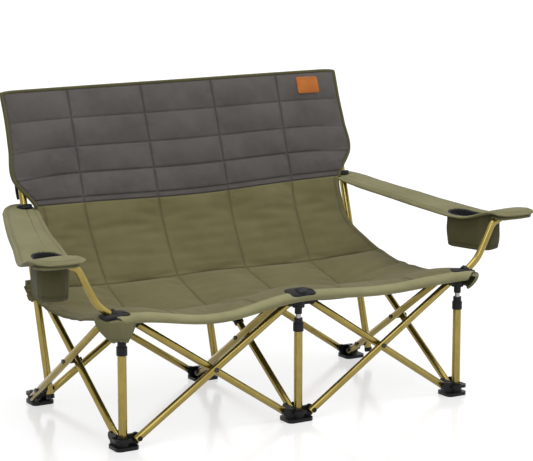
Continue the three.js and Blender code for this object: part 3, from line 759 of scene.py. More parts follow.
hem = {
    "rows": 26, "from": 0.1, "to": 2.06, "lift": 1.0, "puff": 1.0, "columns": 260, "inset": 1.5,
    "overlap": 1.5, "stitchLine": 5, "fullness": 0.6,
    # waves of the puffed cloth: reach, height and seed of long ones and short ones, and the long ones' slant
    "longWaves": (95, 1.0, 14), "shortWaves": (30, 0.5, 15), "slant": 0.4,
}


def makeHem():
    # a lighter band over the seat's front edge, held by the hubs: the sling's own surface, a little further
    # out, puffed by a sine of the share up the band
    rows = np.linspace(hem["from"], hem["to"], hem["rows"])
    share = np.linspace(-1, 1, hem["columns"])
    x = share[None] * (halfAt(rows)[:, None] - hem["inset"])
    surface = slingAt(x, rows[:, None])
    run = runOf(surface)
    height = run[-1:, :, 1]
    normal = normalsOf(surface)
    puff = np.sin(math.pi * np.clip(run[..., 1] / height, 0, 1)) ** hem["fullness"]
    waves = ripples(run[..., 0], run[..., 1] * hem["slant"], *hem["longWaves"])
    waves = waves + ripples(run[..., 0], run[..., 1], *hem["shortWaves"])
    outside = sling["thickness"] / 2 + hem["lift"] + puff * (hem["puff"] + waves)
    front = surface + normal * outside[..., None]
    back = surface + normal * (sling["thickness"] / 2 - hem["overlap"])
    toRim = np.minimum(run[..., 1], height - run[..., 1])
    piece = makePiece("seatHem", np.stack([front, back]), shellFaces(*x.shape), hemCloth, "hub_front_center",
                      twice(run), {"seamAlong": twice(np.abs(toRim - hem["stitchLine"]))})
    foldAcross(piece)


makeHem()

lowerBack = {
    "crown": 3.5, "groove": 1.8, "sideHem": 18, "perColumn": 32, "rows": 84, "trialGrid": (46, 121),
    "underQuilt": 2, "crossEase": 1.0,
    "padding": {"pressure": 8.0, "spare": 0.003, "stiffness": 9.0, "frames": 16, "cap": 9.0},
}


def makeLowerBack():
    # the same kind of panel between the cross seam and the quilt
    seamRow, headRow = sling["seam"], sling["head"]
    rows = seamRow + (headRow - seamRow) * easedSteps([0, 1], lowerBack["rows"])
    place = easedSteps(np.arange(quiltColumns + 1.0), lowerBack["perColumn"])
    x, toSeam, toSide = slingGrid(rows, place)
    surface = slingAt(x, rows[:, None])
    run = runOf(surface)
    toCross, toHead = run[..., 1], run[-1:, :, 1] - run[..., 1]
    lift = panelLift(lowerBack, seamRow, headRow, rows, place)
    lift -= lowerBack["groove"] * groove(toSeam, sling["seamWidth"])
    sideHem = np.abs(toSide - lowerBack["sideHem"])
    lift -= sling["hemDepth"] * groove(sideHem, sling["hemWidth"])
    toEdge = np.minimum(toSide, np.minimum(toCross, toHead + lowerBack["underQuilt"]) + sling["sewnEdge"])
    piece, _ = clothShell("lowerBackCloth", surface, lift, sling["thickness"], oliveCloth,
                          "post_rear_center", toEdge, np.minimum(toSeam, sideHem),
                          toCross + lowerBack["crossEase"])
    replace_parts(piece, "back_panel")
    foldAcross(piece)


makeLowerBack()

ruffle = {
    "from": 6.3, "to": 9.0, "wide": 26, "fold": 18, "height": 7.5, "inset": 3, "half": 0.8,
    "stitchShare": 0.75, "drift": 0.9, "driftRun": 19, "uneven": 0.2, "unevenRun": 11,
    # how the strip reaches out and how its folds rise, for the right side
    "heading": (0.86, 0.1, -0.5), "rise": (0.35, 0.3, 0.9),
}


def makeRuffle(side, outward):
    # loose cloth gathered at the seat's rear corner: a strip along the side edge whose outer rim goes up and
    # down in close folds, a sine of the run whose phase drifts
    rows = np.linspace(ruffle["from"], ruffle["to"], 150)
    edge = slingAt(outward * (halfAt(rows) - ruffle["inset"]), rows)
    edgeRun = lengthsAlong(edge)
    out = np.linspace(0, 1, 14)[:, None]
    ends = np.sin(math.pi * edgeRun / edgeRun[-1])[None] ** 0.5
    drift = ruffle["drift"] * np.sin(edgeRun / ruffle["driftRun"])
    folds = np.sin(2 * math.pi * edgeRun / ruffle["fold"] + drift)[None] * out * ruffle["height"] * ends
    uneven = 1 - ruffle["uneven"] + ruffle["uneven"] * np.sin(edgeRun / ruffle["unevenRun"])[None]
    reach = ruffle["wide"] * out * ends * uneven
    heading, rise = (np.multiply(ruffle[key], (outward, 1, 1)) for key in ("heading", "rise"))
    middle = edge[None] + reach[..., None] * heading + folds[..., None] * rise
    piece = thinSheet(f"seatRuffle_{side}", middle, ruffle["half"], oliveCloth, "seat",
                      seamAlong=np.abs(reach - ruffle["wide"] * ruffle["stitchShare"]))
    foldAcross(piece)


makeRuffle("left", -1)

headQuilt = {
    "crown": 2.2, "groove": 2.0, "margin": 7, "perColumn": 30, "perRow": 22, "topShare": 0.985,
    "thickness": 6.0, "lift": 1.5, "trialColumns": 131, "trialPerRow": 13, "sewnEdge": 1, "faintSeam": 4,
    # row seams as shares of the height, from the strip at the bottom to the top, and their depth
    "rowSeams": [0.0, 0.049, 0.262, 0.493, 0.744, 1.0], "depths": [1.0, 1.0, 0.85, 0.6, 0.5, 1.0],
    "padding": {"pressure": 7.0, "spare": 0.009, "stiffness": 0.5, "frames": 16, "cap": 8.0},
}


def makeHeadQuilt():
    # each cell is sewn along its four sides; the upper row seams are drawn in less than the lower ones
    seams, depths = np.asarray(headQuilt["rowSeams"]), np.asarray(headQuilt["depths"])
    tall = (sling["top"] - sling["head"]) * headQuilt["topShare"]
    rows = sling["head"] + tall * easedSteps(headQuilt["rowSeams"], headQuilt["perRow"])
    place = easedSteps(np.arange(quiltColumns + 1.0), headQuilt["perColumn"])
    x, toSeam, toSide = slingGrid(rows, place, headQuilt["margin"])
    surface = slingAt(x, rows[:, None])
    run = runOf(surface)
    height = run[-1:, :, 1]
    toRows = np.abs(run[..., 1][..., None] - seams * height[..., None])
    nearRow = toRows.min(-1)
    rowDepth = depths[toRows.argmin(-1)]
    cells = np.concatenate([np.linspace(a, b, headQuilt["trialPerRow"])[:-1]
                            for a, b in zip(seams[1:-1], seams[2:])])
    coarse = sling["head"] + tall * np.concatenate([seams[:1], cells, seams[-1:]])
    between = np.concatenate([[0], np.stack([seams[1:-1], (seams[1:-1] + seams[2:]) / 2], 1).ravel(), [1]])
    crowned = (sling["head"] + tall * between, [0, *[0, 1] * (len(seams) - 2), 0])
    lift = settledLift(coarse, np.linspace(0, quiltColumns, headQuilt["trialColumns"]), rows, place,
                       headQuilt["margin"], headQuilt["crown"], crowned, headQuilt["padding"])
    lift -= headQuilt["groove"] * np.maximum(
        groove(toSeam, sling["seamWidth"]), rowDepth * groove(nearRow, sling["seamWidth"]))
    toEdge = np.minimum(toSide, np.minimum(run[..., 1], height - run[..., 1]) + headQuilt["sewnEdge"])
    surface = surface + normalsOf(surface) * headQuilt["lift"]
    along = nearRow + headQuilt["faintSeam"] * (1 - rowDepth)
    piece, front = clothShell("headQuilt", surface, lift, headQuilt["thickness"], greyCloth,
                              "post_rear_center", toEdge, toSeam, along)
    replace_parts(piece, "head_panel")
    foldAcross(piece)
    return front


headFront = makeHeadQuilt()

# the backing's waves are their reach, height and seed
backing = {"below": 0.06, "inset": 1, "behind": 4.6, "half": 1.1, "grid": (64, 150), "waves": (160, 0.7, 11)}


def makeHeadBacking():
    # a plain sheet behind the quilt, a little wider, down to just under the quilt's lower seam
    rowCount, columnCount = backing["grid"]
    rows = np.linspace(sling["head"] - backing["below"], sling["top"], rowCount)[:, None]
    x = np.linspace(-1, 1, columnCount)[None] * (halfAt(rows) - backing["inset"])
    surface = slingAt(x, rows)
    normal = normalsOf(surface)
    run = runOf(surface)
    waves = ripples(run[..., 0], run[..., 1], *backing["waves"])
    middle = surface - normal * (backing["behind"] - waves)[..., None]
    piece = thinSheet("headBacking", middle, backing["half"], oliveCloth, "post_rear_center", normal, run)
    foldAcross(piece)


makeHeadBacking()

binding = {
    "half": 4.0, "depth": 6.0, "corner": 2.8, "inset": 3.0, "below": 0.02, "topGap": 0.07, "crown": 0.05,
    "crownPower": 40, "sideSteps": 70, "topSteps": 160,
}


def makeBinding():
    # tape folded round the head panel's edge: up the left side, along the top and down the right side
    topRow = sling["top"] - binding["topGap"]
    rowsUp = np.linspace(sling["head"] - binding["below"], topRow, binding["sideSteps"])
    reach = halfAt(rowsUp) - binding["inset"]
    left = slingAt(-reach, rowsUp)
    topX = np.linspace(-1, 1, binding["topSteps"])
    rim = topRow + binding["crown"] * (1 - np.abs(topX) ** binding["crownPower"])
    top = slingAt(topX * reach[-1], rim)
    right = slingAt(reach, rowsUp)[::-1]
    path = np.concatenate([left[:-1], top, right[1:]])
    ring = roundedRing(binding["half"], binding["depth"], binding["corner"])
    piece = sweptPiece("headBinding", path, ring, (0, 1, 0), darkOliveCloth, "post_rear_center")
    foldAcross(piece)


makeBinding()
print("sling made")


# armrests, cup pockets and what holds them

arm = {
    # y, distance of the middle line from the chair's middle, half width and height, from the rear end
    "profile": np.array([
        [596, 505, 20, 530], [578, 510, 35, 527], [540, 519, 49, 520], [480, 538, 52, 508],
        [350, 580, 56, 487], [235, 612, 61, 471], [100, 650, 68, 460], [10, 670, 64, 484.3],
        [-30, 667, 60, 484.3], [-46, 664, 40, 482],
    ], float),
    "thickness": 8, "crown": 3.4, "crownReach": 16, "holeDip": 3.0, "holeReach": 11, "rings": 30,
    "alongSteps": 150, "endSteps": 16, "piping": 2.6, "keep": 0.4, "hemLine": 11, "hemWidth": 2.2,
    "hemDepth": 0.9, "edgeRound": 5, "edgeLeast": 0.08, "hangHeight": 529,
    "frontBow": 5, "rearBow": 4, "crownPower": 1.5, "waves": (110, 0.8), "waveSeed": 21, "waveFade": 20,
    "pipingSides": 10,
    # how far each rear end hangs below the profile, fading out forwards
    "rearDrop": {"left": 14, "right": 0}, "dropFrom": 240, "dropTo": 500,
}
cup = {
    "x": 634, "y": 112, "across": 76, "along": 156, "bottom": 373, "rim": 475, "wall": 2.4, "corner": 35,
    "turn": 15, "taper": 0.05, "bulge": 2.5, "levels": 40, "size": 60, "seam": 13,
    "floor": (0.8, 0.5, 0.2, 0.0), "edgeFrom": 0.9, "edgeShare": 0.12, "play": 1, "bulgeTo": 0.92,
    "bulgePower": 0.8, "seamWidth": 2.0, "underArm": 0.4, "holeSteps": 480,
    # folds of the wall: run round it, and reach, height and seed; puckers at the rim: number, size and fade
    "foldRun": 300, "folds": (90, 1.1, 31), "puckers": 15, "pucker": 1.4, "puckerFade": 9,
    # the gathered band's two waves, the second one's share and start, and how far they move it out and up
    "rimSteps": 320, "gathers": (43, 29), "gatherShare": 0.7, "gatherStart": 1, "gatherOut": 0.011,
    "gatherUp": 0.5, "rimLift": 0.8,
    # section of the gathered band: outwards from the hole's edge, and up
    "band": [(5.5, 0.4), (4.6, 2.4), (0, 3.2), (-3.4, 2.0), (-4.4, -3), (-4.8, -15), (-3.2, -15.5),
             (-2.6, -4), (-1.8, 0.2), (0.6, 0.9), (4.4, -0.4), (5.5, 0.4)],
}


def cupRing(outward, inset):
    # the cup's outline in plan: a rounded rectangle, turned to lie along the armrest
    ring = roundedRing(cup["across"] / 2 - inset, cup["along"] / 2 - inset, cup["corner"] - inset, 14)
    turn = math.radians(outward * cup["turn"])
    turned = ring @ np.array([[math.cos(turn), math.sin(turn)], [-math.sin(turn), math.cos(turn)]])
    return turned + (outward * cup["x"], cup["y"])


def foldArm(piece):
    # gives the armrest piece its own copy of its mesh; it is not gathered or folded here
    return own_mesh(piece)


def armOutline(side, outward):
    # down the inner edge, round the front end, up the outer edge and round the rear end
    at = np.linspace(0, len(arm["profile"]) - 1, arm["alongSteps"])
    middle = splineThrough(arm["profile"][:, [1, 0, 3]], at)
    middle[:, 2] -= arm["rearDrop"][side] * ramp(middle[:, 1], arm["dropFrom"], arm["dropTo"])
    half = splineThrough(np.pad(arm["profile"][:, [2]], ((0, 0), (0, 2))), at)[:, 0]
    inner = np.stack([middle[:, 0] - half, middle[:, 1]], -1)
    outer = np.stack([middle[:, 0] + half, middle[:, 1]], -1)
    share = np.linspace(0, 1, arm["endSteps"])[1:-1, None]
    front = inner[-1] + (outer[-1] - inner[-1]) * share - np.sin(math.pi * share) * (0, arm["frontBow"])
    rear = outer[0] + (inner[0] - outer[0]) * share + np.sin(math.pi * share) * (0, arm["rearBow"])
    loop = np.concatenate([inner, front, outer[::-1], rear])
    return loop * (outward, 1), middle


def evenly(line, count):
    # points at even distances along a line
    run = lengthsAlong(line)
    at = np.linspace(0, run[-1], count)
    return np.stack([np.interp(at, run, line[:, i]) for i in range(line.shape[1])], -1)


def nearestOf(points, line):
    # distance of each point from a line of closely set points
    flat = points.reshape(-1, 2)
    gaps = np.sqrt(((flat[:, None] - line[None]) ** 2).sum(-1))
    return gaps.min(1).reshape(points.shape[:-1])


def armHeight(middle, y):
    # the height of the armrest's middle line at places along y
    order = np.argsort(middle[:, 1])
    return np.interp(y, middle[order, 1], middle[order, 2])


def makeArm(side, outward):
    # the pad's grid runs round its outline and inwards to the cup's hole on straight lines; the top is
    # crowned by the distance from the edge and dips towards the hole
    body = f"arm_{side}"
    loop, middle = armOutline(side, outward)
    centre = np.array([outward * cup["x"], cup["y"]])
    hole = evenly(cupRing(outward, cup["wall"] + cup["play"]), cup["holeSteps"])
    holeTurn = np.arctan2(*(hole - centre)[:-1, ::-1].T)
    order = np.argsort(holeTurn)
    holeReach = np.linalg.norm(hole - centre, axis=1)[:-1]
    away = loop - centre
    turn = np.arctan2(away[:, 1], away[:, 0])
    reach = np.linalg.norm(away, axis=1)
    near = np.interp(turn, holeTurn[order], holeReach[order], period=2 * math.pi)
    share = easedSteps([0, 1], arm["rings"])[:, None]
    distance = near + (reach - near) * share
    plan = centre + distance[..., None] * (away / reach[:, None])[None]
    plan = np.concatenate([plan, plan[:, :1]], 1)
    toEdge, toHole = nearestOf(plan, loop), nearestOf(plan, hole)
    height = armHeight(middle, plan[..., 1])
    soft = quarterRound(np.minimum(toEdge, toHole), arm["edgeRound"], arm["edgeLeast"])
    lift = arm["crown"] * (1 - np.exp(-(toEdge / arm["crownReach"]) ** arm["crownPower"]))
    lift -= arm["holeDip"] * np.exp(-toHole / arm["holeReach"])
    lift -= arm["hemDepth"] * groove(toEdge - arm["hemLine"], arm["hemWidth"])
    waves = ripples(plan[..., 0], plan[..., 1], *arm["waves"], arm["waveSeed"] + outward)
    lift += waves * np.clip(toEdge / arm["waveFade"], 0, 1)
    half = soft * arm["thickness"] / 2
    upper = np.concatenate([plan, (height + half + soft * lift)[..., None]], -1)
    lower = np.concatenate([plan, (height - half)[..., None]], -1)
    marks = {"seamAcross": twice(np.abs(toEdge - arm["hemLine"]))}
    piece = makePiece(f"armPad_{side}", np.stack([upper, lower]), shellFaces(*plan.shape[:2]), oliveTrim,
                      body, twice(plan), marks)
    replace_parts(piece, f"armrest_{side}")
    foldArm(piece)
    edgePath = np.concatenate([loop, armHeight(middle, loop[:, 1])[:, None]], 1)
    ring = ringOf(arm["piping"], arm["pipingSides"])
    foldArm(sweptPiece(f"armPiping_{side}", edgePath, ring, (0, 0, 1), oliveTrim, body, closed=True))
    return middle


def makeCup(side, outward, middle):
    # one closed surface: from the middle of the inner floor up the inner wall, over the rim, down the outer
    # wall and in to the middle of the outer floor
    body = f"arm_{side}"
    count = cup["levels"]
    deep = cup["rim"] - cup["bottom"]
    down = np.linspace(0, 1, count)
    roundOff = np.sqrt(np.clip(1 - ramp(down, cup["edgeFrom"], 1) ** 2, 0, 1))
    floorEdge = roundOff * cup["edgeShare"] + 1 - cup["edgeShare"]
    centre = np.array([outward * cup["x"], cup["y"]])

    def wallRings(inset, bottom):
        # the cup's outline at each level, smaller downwards, bulged by a sine of the depth and puckered at
        # the rim, and then drawn in to the middle of the floor
        ring = cupRing(outward, inset) - centre
        scale = floorEdge * (1 - cup["taper"] * down)
        z = cup["rim"] - (cup["rim"] - bottom) * down
        push = cup["bulge"] * np.sin(math.pi * np.clip(down, 0, cup["bulgeTo"])) ** cup["bulgePower"]
        walls = ring[None] * scale[:, None, None] * (1 + (push / cup["size"])[:, None, None])
        turn = np.linspace(0, 2 * math.pi, len(ring))
        levels = np.outer(z, np.ones(len(ring)))
        around = np.outer(np.ones(count), cup["foldRun"] * np.sin(turn))
        folds = ripples(around, levels, *cup["folds"])
        fade = np.exp(-down * cup["puckerFade"])[:, None]
        folds += cup["pucker"] * fade * np.sin(cup["puckers"] * turn)[None]
        folds -= groove(down * deep - deep + cup["seam"], cup["seamWidth"])[:, None]
        walls = walls * (1 + folds / cup["size"])[..., None]
        floor = np.stack([walls[-1] * share for share in cup["floor"]])
        plan = np.concatenate([walls, floor]) + centre
        level = np.concatenate([z, np.full(len(floor), bottom)])
        return np.concatenate([plan, np.broadcast_to(level[:, None, None], (*plan.shape[:2], 1))], -1)

    outer = wallRings(0, cup["bottom"])
    inner = wallRings(cup["wall"], cup["bottom"] + cup["wall"])
    grid = np.concatenate([inner[::-1], outer])
    grid[..., 2] += np.clip((grid[..., 2] - cup["bottom"]) / deep, 0, 1) * (
        armHeight(middle, grid[..., 1]) - arm["thickness"] / 2 - cup["underArm"] - cup["rim"])
    marks = {"seamAlong": np.abs(grid[..., 2] - cup["bottom"] - cup["seam"])}
    piece = makePiece(f"cupPocket_{side}", grid, gridFaces(*grid.shape[:2]), darkOliveCloth, body,
                      runOf(grid), marks)
    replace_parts(piece, f"cup_holder_{side}")
    foldArm(piece)
    path = evenly(cupRing(outward, cup["wall"] + cup["play"]), cup["rimSteps"] + 1)[:-1]
    turn = np.linspace(0, 2 * math.pi, len(path), endpoint=False)
    first, second = cup["gathers"]
    gather = np.sin(first * turn) + cup["gatherShare"] * np.sin(second * turn + cup["gatherStart"])
    path = centre + (path - centre) * (1 + cup["gatherOut"] * gather)[:, None]
    z = armHeight(middle, path[:, 1]) + cup["rimLift"] + cup["gatherUp"] * gather
    path = np.concatenate([path, z[:, None]], 1)
    foldArm(sweptPiece(f"cupRim_{side}", path, np.array(cup["band"]), (0, 0, 1), blackWebbing, body,
                       closed=True))


sleeve = {
    "path": [(618, -2, 469), (636, -4, 472), (680, -8, 473.5), (712, -10, 473.5), (728, -11, 472)],
    "ends": [0.5, 0.95, 1.0, 0.85, 0.3], "depth": 35, "half": 7.5, "bluntness": 0.8,
}


def makeSleeve(side, outward):
    # a flat pocket under the armrest's front end, which holds the arm tube's end
    at = np.linspace(0, len(sleeve["path"]) - 1, 48)
    path = splineThrough(np.asarray(sleeve["path"]) * (outward, 1, 1), at)
    scale = np.interp(at, np.arange(len(sleeve["ends"])), sleeve["ends"])
    turn = np.linspace(0, 2 * math.pi, 41)
    ring = np.stack([sleeve["depth"] * blunt(np.cos(turn), sleeve["bluntness"]),
                     sleeve["half"] * blunt(np.sin(turn), sleeve["bluntness"])], -1)
    foldArm(sweptPiece(f"armSleeve_{side}", path, ring, (0, 0, 1), oliveTrim, f"arm_{side}", scale))


grommet = {
    "height": 530, "bore": 10.4, "radius": 21, "half": 6.5, "round": 2.5,
    "lip": 4, "lipFoot": 2.5, "lipDeep": 2,
}


def makeGrommet(side, outward):
    # a moulded ring round the rear post, set in the armrest
    bore, radius, half, ease = (grommet[key] for key in ("bore", "radius", "half", "round"))
    lipFloor = half - grommet["lipDeep"]
    stations = [(-half, bore), (-half, radius - ease), (-half + ease, radius), (half - ease, radius),
                (half, radius - ease), (half, bore + grommet["lip"]), (lipFloor, bore + grommet["lipFoot"]),
                (lipFloor, bore), (-half, bore)]
    height = grommet["height"] - arm["rearDrop"][side]
    lathePiece(f"armGrommet_{side}", postAtHeight(outward * baySpan, height), postAxis, stations,
               blackPlastic, f"post_rear_{side}")


for side, outward in outwards.items():
    middle = makeArm(side, outward)
    makeCup(side, outward, middle)
    makeSleeve(side, outward)
    makeGrommet(side, outward)
print("armrests made")


# patches, pouches, straps and caps

patches = {
    "left": {"x": -520, "row": 1.95, "halfX": 33, "halfRow": 0.68},
    "center": {"x": -5, "row": 1.75, "halfX": 38, "halfRow": 0.85},
    "right": {"x": 512, "row": 2.25, "halfX": 35, "halfRow": 0.4},
}
patchForm = {
    "bluntness": 0.34, "rise": 6.2, "crown": 2.4, "crownPower": 8, "rowLength": 30, "rowStep": 0.02,
    "stitchLine": 5, "sides": 72, "rings": 16,
}


def makePatch(column, patch):
    # a rounded square of webbing over the hem, a little crowned: a superellipse in x and the sling's rows,
    # filled by rings and moved out along the sling's normal
    turn = np.linspace(0, 2 * math.pi, patchForm["sides"] + 1)
    share = np.sqrt(np.linspace(0, 1, patchForm["rings"]))[:, None]
    x = patch["x"] + patch["halfX"] * share * blunt(np.cos(turn), patchForm["bluntness"])
    row = patch["row"] + patch["halfRow"] * share * blunt(np.sin(turn), patchForm["bluntness"])
    base = slingAt(x, row)
    slopeX = slingAt(x + 1, row) - slingAt(x - 1, row)
    slopeRow = slingAt(x, row + patchForm["rowStep"]) - slingAt(x, row - patchForm["rowStep"])
    normal = np.cross(slopeX, slopeRow)
    normal /= np.linalg.norm(normal, axis=-1, keepdims=True)
    crown = patchForm["crown"] * (1 - share ** patchForm["crownPower"])
    rise = (patchForm["rise"] + crown)[..., None]
    points = np.stack([base + normal * rise, base + normal])
    plan = np.stack([x, patchForm["rowLength"] * row], -1)
    toRim = (1 - share) * patch["halfX"] * np.ones_like(x)
    makePiece(f"seatPatch_{column}", points, shellFaces(*x.shape), blackWebbing, f"hub_front_{column}",
              twice(plan), {"seamAcross": twice(np.abs(toRim - patchForm["stitchLine"]))})
    return points[0, 0, 0], normal[0, 0]


buttonStations = [(-3, 0), (-3, 15), (0.5, 15), (2, 14), (2.6, 12.2), (2.0, 11), (3.4, 9.5), (4.6, 6),
                  (5, 2.5), (5, 0)]
tubeRingStations = [(26, 9.7), (26, 14.5), (27.5, 16), (35, 16), (37, 14), (37, 9.7), (26, 9.7)]
for column, patch in patches.items():
    top, facing = makePatch(column, patch)
    if column == "center":
        lathePiece("patchButton", top, facing, buttonStations, blackPlastic, "hub_front_center")
    else:
        outward = outwards[column]
        axis = np.subtract(socketPoint(outward, 1), socketPoint(outward, 0))
        lathePiece(f"tubeRing_{column}", socketPoint(outward, 0), axis, tubeRingStations, blackPlastic,
                   f"hub_front_{column}")

pouch = {
    "x": 506, "top": 327, "bottom": {"left": 273, "right": 292}, "bottomRadius": 24,
    # angles that the cloth covers, from the outer side: negative is towards the front
    "from": {"left": -172, "right": -58}, "to": 75,
    "turns": [-172, -130, -90, -45, 0, 75], "reach": [44, 40, 34, 48, 60, 50],
    "half": 0.9, "lidRise": 5, "lidShare": 0.5, "stitchLine": 7, "fallPower": 1.7,
    "columns": 90, "levels": 26, "lidLevels": 8, "smoothing": 13,
    # folds: their size and number round the hub, and where the low ones start
    "lowFolds": (0.05, 9, 0.6), "folds": (0.03, 5), "edgeFolds": (3, 4),
}


def makePouch(side, outward):
    # cloth gathered round the corner hub: each upright line runs from under the seat out to a wide top edge
    # and down to a small ring
    turn = np.linspace(pouch["from"][side], pouch["to"], pouch["columns"])
    reach = np.interp(turn, pouch["turns"], pouch["reach"])
    wide, small = pouch["smoothing"], pouch["bottomRadius"]
    reach = np.convolve(np.pad(reach, wide // 2, mode="edge"), np.ones(wide) / wide, "valid")
    down = np.linspace(0, 1, pouch["levels"])[:, None]
    angle = np.radians(turn)[None]
    radius = small + (reach[None] - small) * (1 - down ** pouch["fallPower"])
    lowSize, lowCount, lowStart = pouch["lowFolds"]
    size, count = pouch["folds"]
    lowFolds = lowSize * down * np.sin(lowCount * angle + lowStart)
    radius = radius * (1 + lowFolds + size * np.sin(count * angle))
    size, count = pouch["edgeFolds"]
    z = pouch["top"] + (pouch["bottom"][side] - pouch["top"]) * down + size * np.sin(count * angle) * down
    inward = np.linspace(1, 0, pouch["lidLevels"])[:-1, None]
    radius = np.concatenate([radius[:1] * (1 - pouch["lidShare"] * inward), radius])
    z = np.concatenate([z[:1] + pouch["lidRise"] * inward ** 2, z])
    middle = np.stack([outward * (pouch["x"] + radius * np.cos(angle)), radius * np.sin(angle), z], -1)
    piece = thinSheet(f"cornerPouch_{side}", middle, pouch["half"], oliveTrim, f"hub_front_{side}",
                      seamAlong=np.abs(z - pouch["bottom"][side] - pouch["stitchLine"]))


for side, outward in outwards.items():
    makePouch(side, outward)

leather = {
    "x": 412, "z": 787, "half": 35, "tall": 23, "lift": 2.0, "puff": 0.9, "backing": 2.5, "lean": 0.318,
    "stitchInset": 3.4, "stitchCorner": 2.5, "stitchPitch": 4.2, "stitchLong": 2.6, "threadHalf": 0.45,
    "threadDeep": 1.6, "threadSink": 0.15, "ridgeAlong": (0.2, 0.9, 0.2), "ridgeAcross": (0.1, 0.7, 0.1),
    "steps": 41, "cornerPull": 0.06, "cornerPower": 8, "edgePower": 14, "nearest": 6, "softening": 4,
}


def headAt(x, z):
    # the quilt's front at places given by x and height: the mean of the nearest points of its grid, each
    # weighted by one over its squared distance plus a softening
    cloud = headFront.reshape(-1, 3)
    spots = np.stack([x, z], -1).reshape(-1, 1, 2)
    gaps = ((spots - cloud[None, :, [0, 2]]) ** 2).sum(-1)
    index = np.argpartition(gaps, leather["nearest"], axis=1)[:, :leather["nearest"]]
    weight = 1 / (np.take_along_axis(gaps, index, 1) + leather["softening"])
    return ((cloud[index, 1] * weight).sum(1) / weight.sum(1)).reshape(np.shape(x))


def makeLeather():
    # a small plain tab of leather with eased corners, sewn flat on the quilt
    share = np.linspace(-1, 1, leather["steps"])
    u, v = np.meshgrid(share, share)
    pull = 1 - leather["cornerPull"] * (u * v) ** leather["cornerPower"]
    x, z = leather["x"] + leather["half"] * u * pull, leather["z"] + leather["tall"] * v * pull
    y = np.broadcast_to(headAt(x, z).mean(1, keepdims=True) - leather["lift"], x.shape)
    soft = 1 - np.maximum(np.abs(u), np.abs(v)) ** leather["edgePower"]
    front = np.stack([x, y - leather["puff"] * soft, z], -1)
    back = np.stack([x, y + leather["lift"] + leather["backing"], z], -1)
    foldAcross(makePiece("leatherTab", np.stack([front, back]), shellFaces(*x.shape), tanLeather,
                         "post_rear_center"))


makeLeather()


def makeStitches():
    # a row of short threads round the tab: each one is a small ridged grid of three by three points
    inset = leather["stitchInset"]
    spots = roundedRing(leather["half"] - inset, leather["tall"] - inset, leather["stitchCorner"], 4)
    length = lengthsAlong(spots)
    at = np.arange(0, length[-1] - 1, leather["stitchPitch"])
    start, end = (np.stack([np.interp(at + step, length, spots[:, i]) for i in (0, 1)], -1)
                  for step in (0, leather["stitchLong"]))
    line = np.stack([start, (start + end) / 2, end], 1)
    aside = np.stack([-(end - start)[:, 1], (end - start)[:, 0]], -1)
    aside = leather["threadHalf"] * aside / np.linalg.norm(aside, axis=1, keepdims=True)
    plan = np.stack([line - aside[:, None], line, line + aside[:, None]], 2)
    x, z = leather["x"] + plan[..., 0], leather["z"] + plan[..., 1]
    depth = headAt(x, z).mean() - leather["lift"] - leather["puff"]
    slope = (z - leather["z"]) * leather["lean"]
    ridge = np.outer(leather["ridgeAlong"], leather["ridgeAcross"])[None]
    upper = np.stack([x, depth + slope - leather["threadSink"] - ridge, z], -1)
    lower = upper + np.array([0, leather["threadDeep"], 0])
    points = np.stack([upper, lower], 1).reshape(-1, 3)
    perThread = len(points) // len(at)
    faces = np.concatenate([shellFaces(3, 3) + perThread * i for i in range(len(at))])
    foldAcross(makePiece("leatherStitches", points, faces, oliveTrim, "post_rear_center",
                         np.zeros((len(points), 2))))


makeStitches()

pocket = {
    "half": {"left": 27, "center": 36, "right": 27}, "bottom": 690, "top": 812, "out": 18, "wall": 1.6,
    "behind": 6.5, "closeFrom": 0.8, "rim": 0.12, "sideStitch": 4, "lowStitch": 8, "inwards": 0.992,
    "narrow": 1.05, "grid": (40, 41),
}


def makePostPocket(column, x):
    # a pocket on the back of the head panel over a rear post's top end: a half round that closes at the top
    rowCount, columnCount = pocket["grid"]
    u = np.linspace(-1, 1, columnCount)[None]
    v = np.linspace(0, 1, rowCount)[:, None]
    tall = pocket["top"] - pocket["bottom"]
    z = pocket["bottom"] + tall * v
    axisY = postAtHeight(0, 0)[1] + z * postAxis[1] / postAxis[2]
    headRow, topRow = sling["head"], sling["top"]
    rows = np.interp(z, sling["profile"][headRow:, 1], np.arange(headRow, topRow + 1))
    half = pocket["half"][column]
    spot = x + half * u + 0 * z
    panel = slingAt(spot, rows)[..., 1] + pocket["behind"]
    halfRound = np.clip(1 - (u * pocket["narrow"]) ** 2, 0, 1) ** 0.5
    closing = np.sqrt(np.clip(1 - ramp(v, pocket["closeFrom"], 1) ** 2, 0, 1))
    closing = pocket["rim"] + (1 - pocket["rim"]) * closing
    over = np.maximum(axisY + pocket["out"] - panel, 0) * halfRound * closing
    middle = np.stack([spot, panel + over, z + 0 * spot], -1)
    piece = thinSheet(f"postPocket_{column}", middle, pocket["wall"] / 2, darkOliveCloth,
                      f"post_rear_{column}",
                      seamAcross=np.abs((1 - np.abs(u)) * half - pocket["sideStitch"]) + 0 * z,
                      seamAlong=np.abs(v * tall - pocket["lowStitch"]) + 0 * u)


capStations = [(-14, 10.1), (-14, 11.2), (1, 11.2), (3, 10), (4, 7), (4.4, 0)]
plugStations = [(-9, 10.1), (-9, 10.9), (0.5, 10.9), (2, 9.6), (2.6, 6), (2.6, 0)]
for column, x in columns.items():
    makePostPocket(column, x * pocket["inwards"])
    pin = np.array([x, 0, 0]) + postPin
    top, foot = pin + tubes["rearLength"] * postAxis, pin - tubes["rearStub"] * postAxis
    lathePiece(f"postCap_{column}", top, postAxis, capStations, blackPlastic, f"post_rear_{column}")
    lathePiece(f"postPlug_{column}", foot, -postAxis, plugStations, blackPlastic, f"post_rear_{column}")

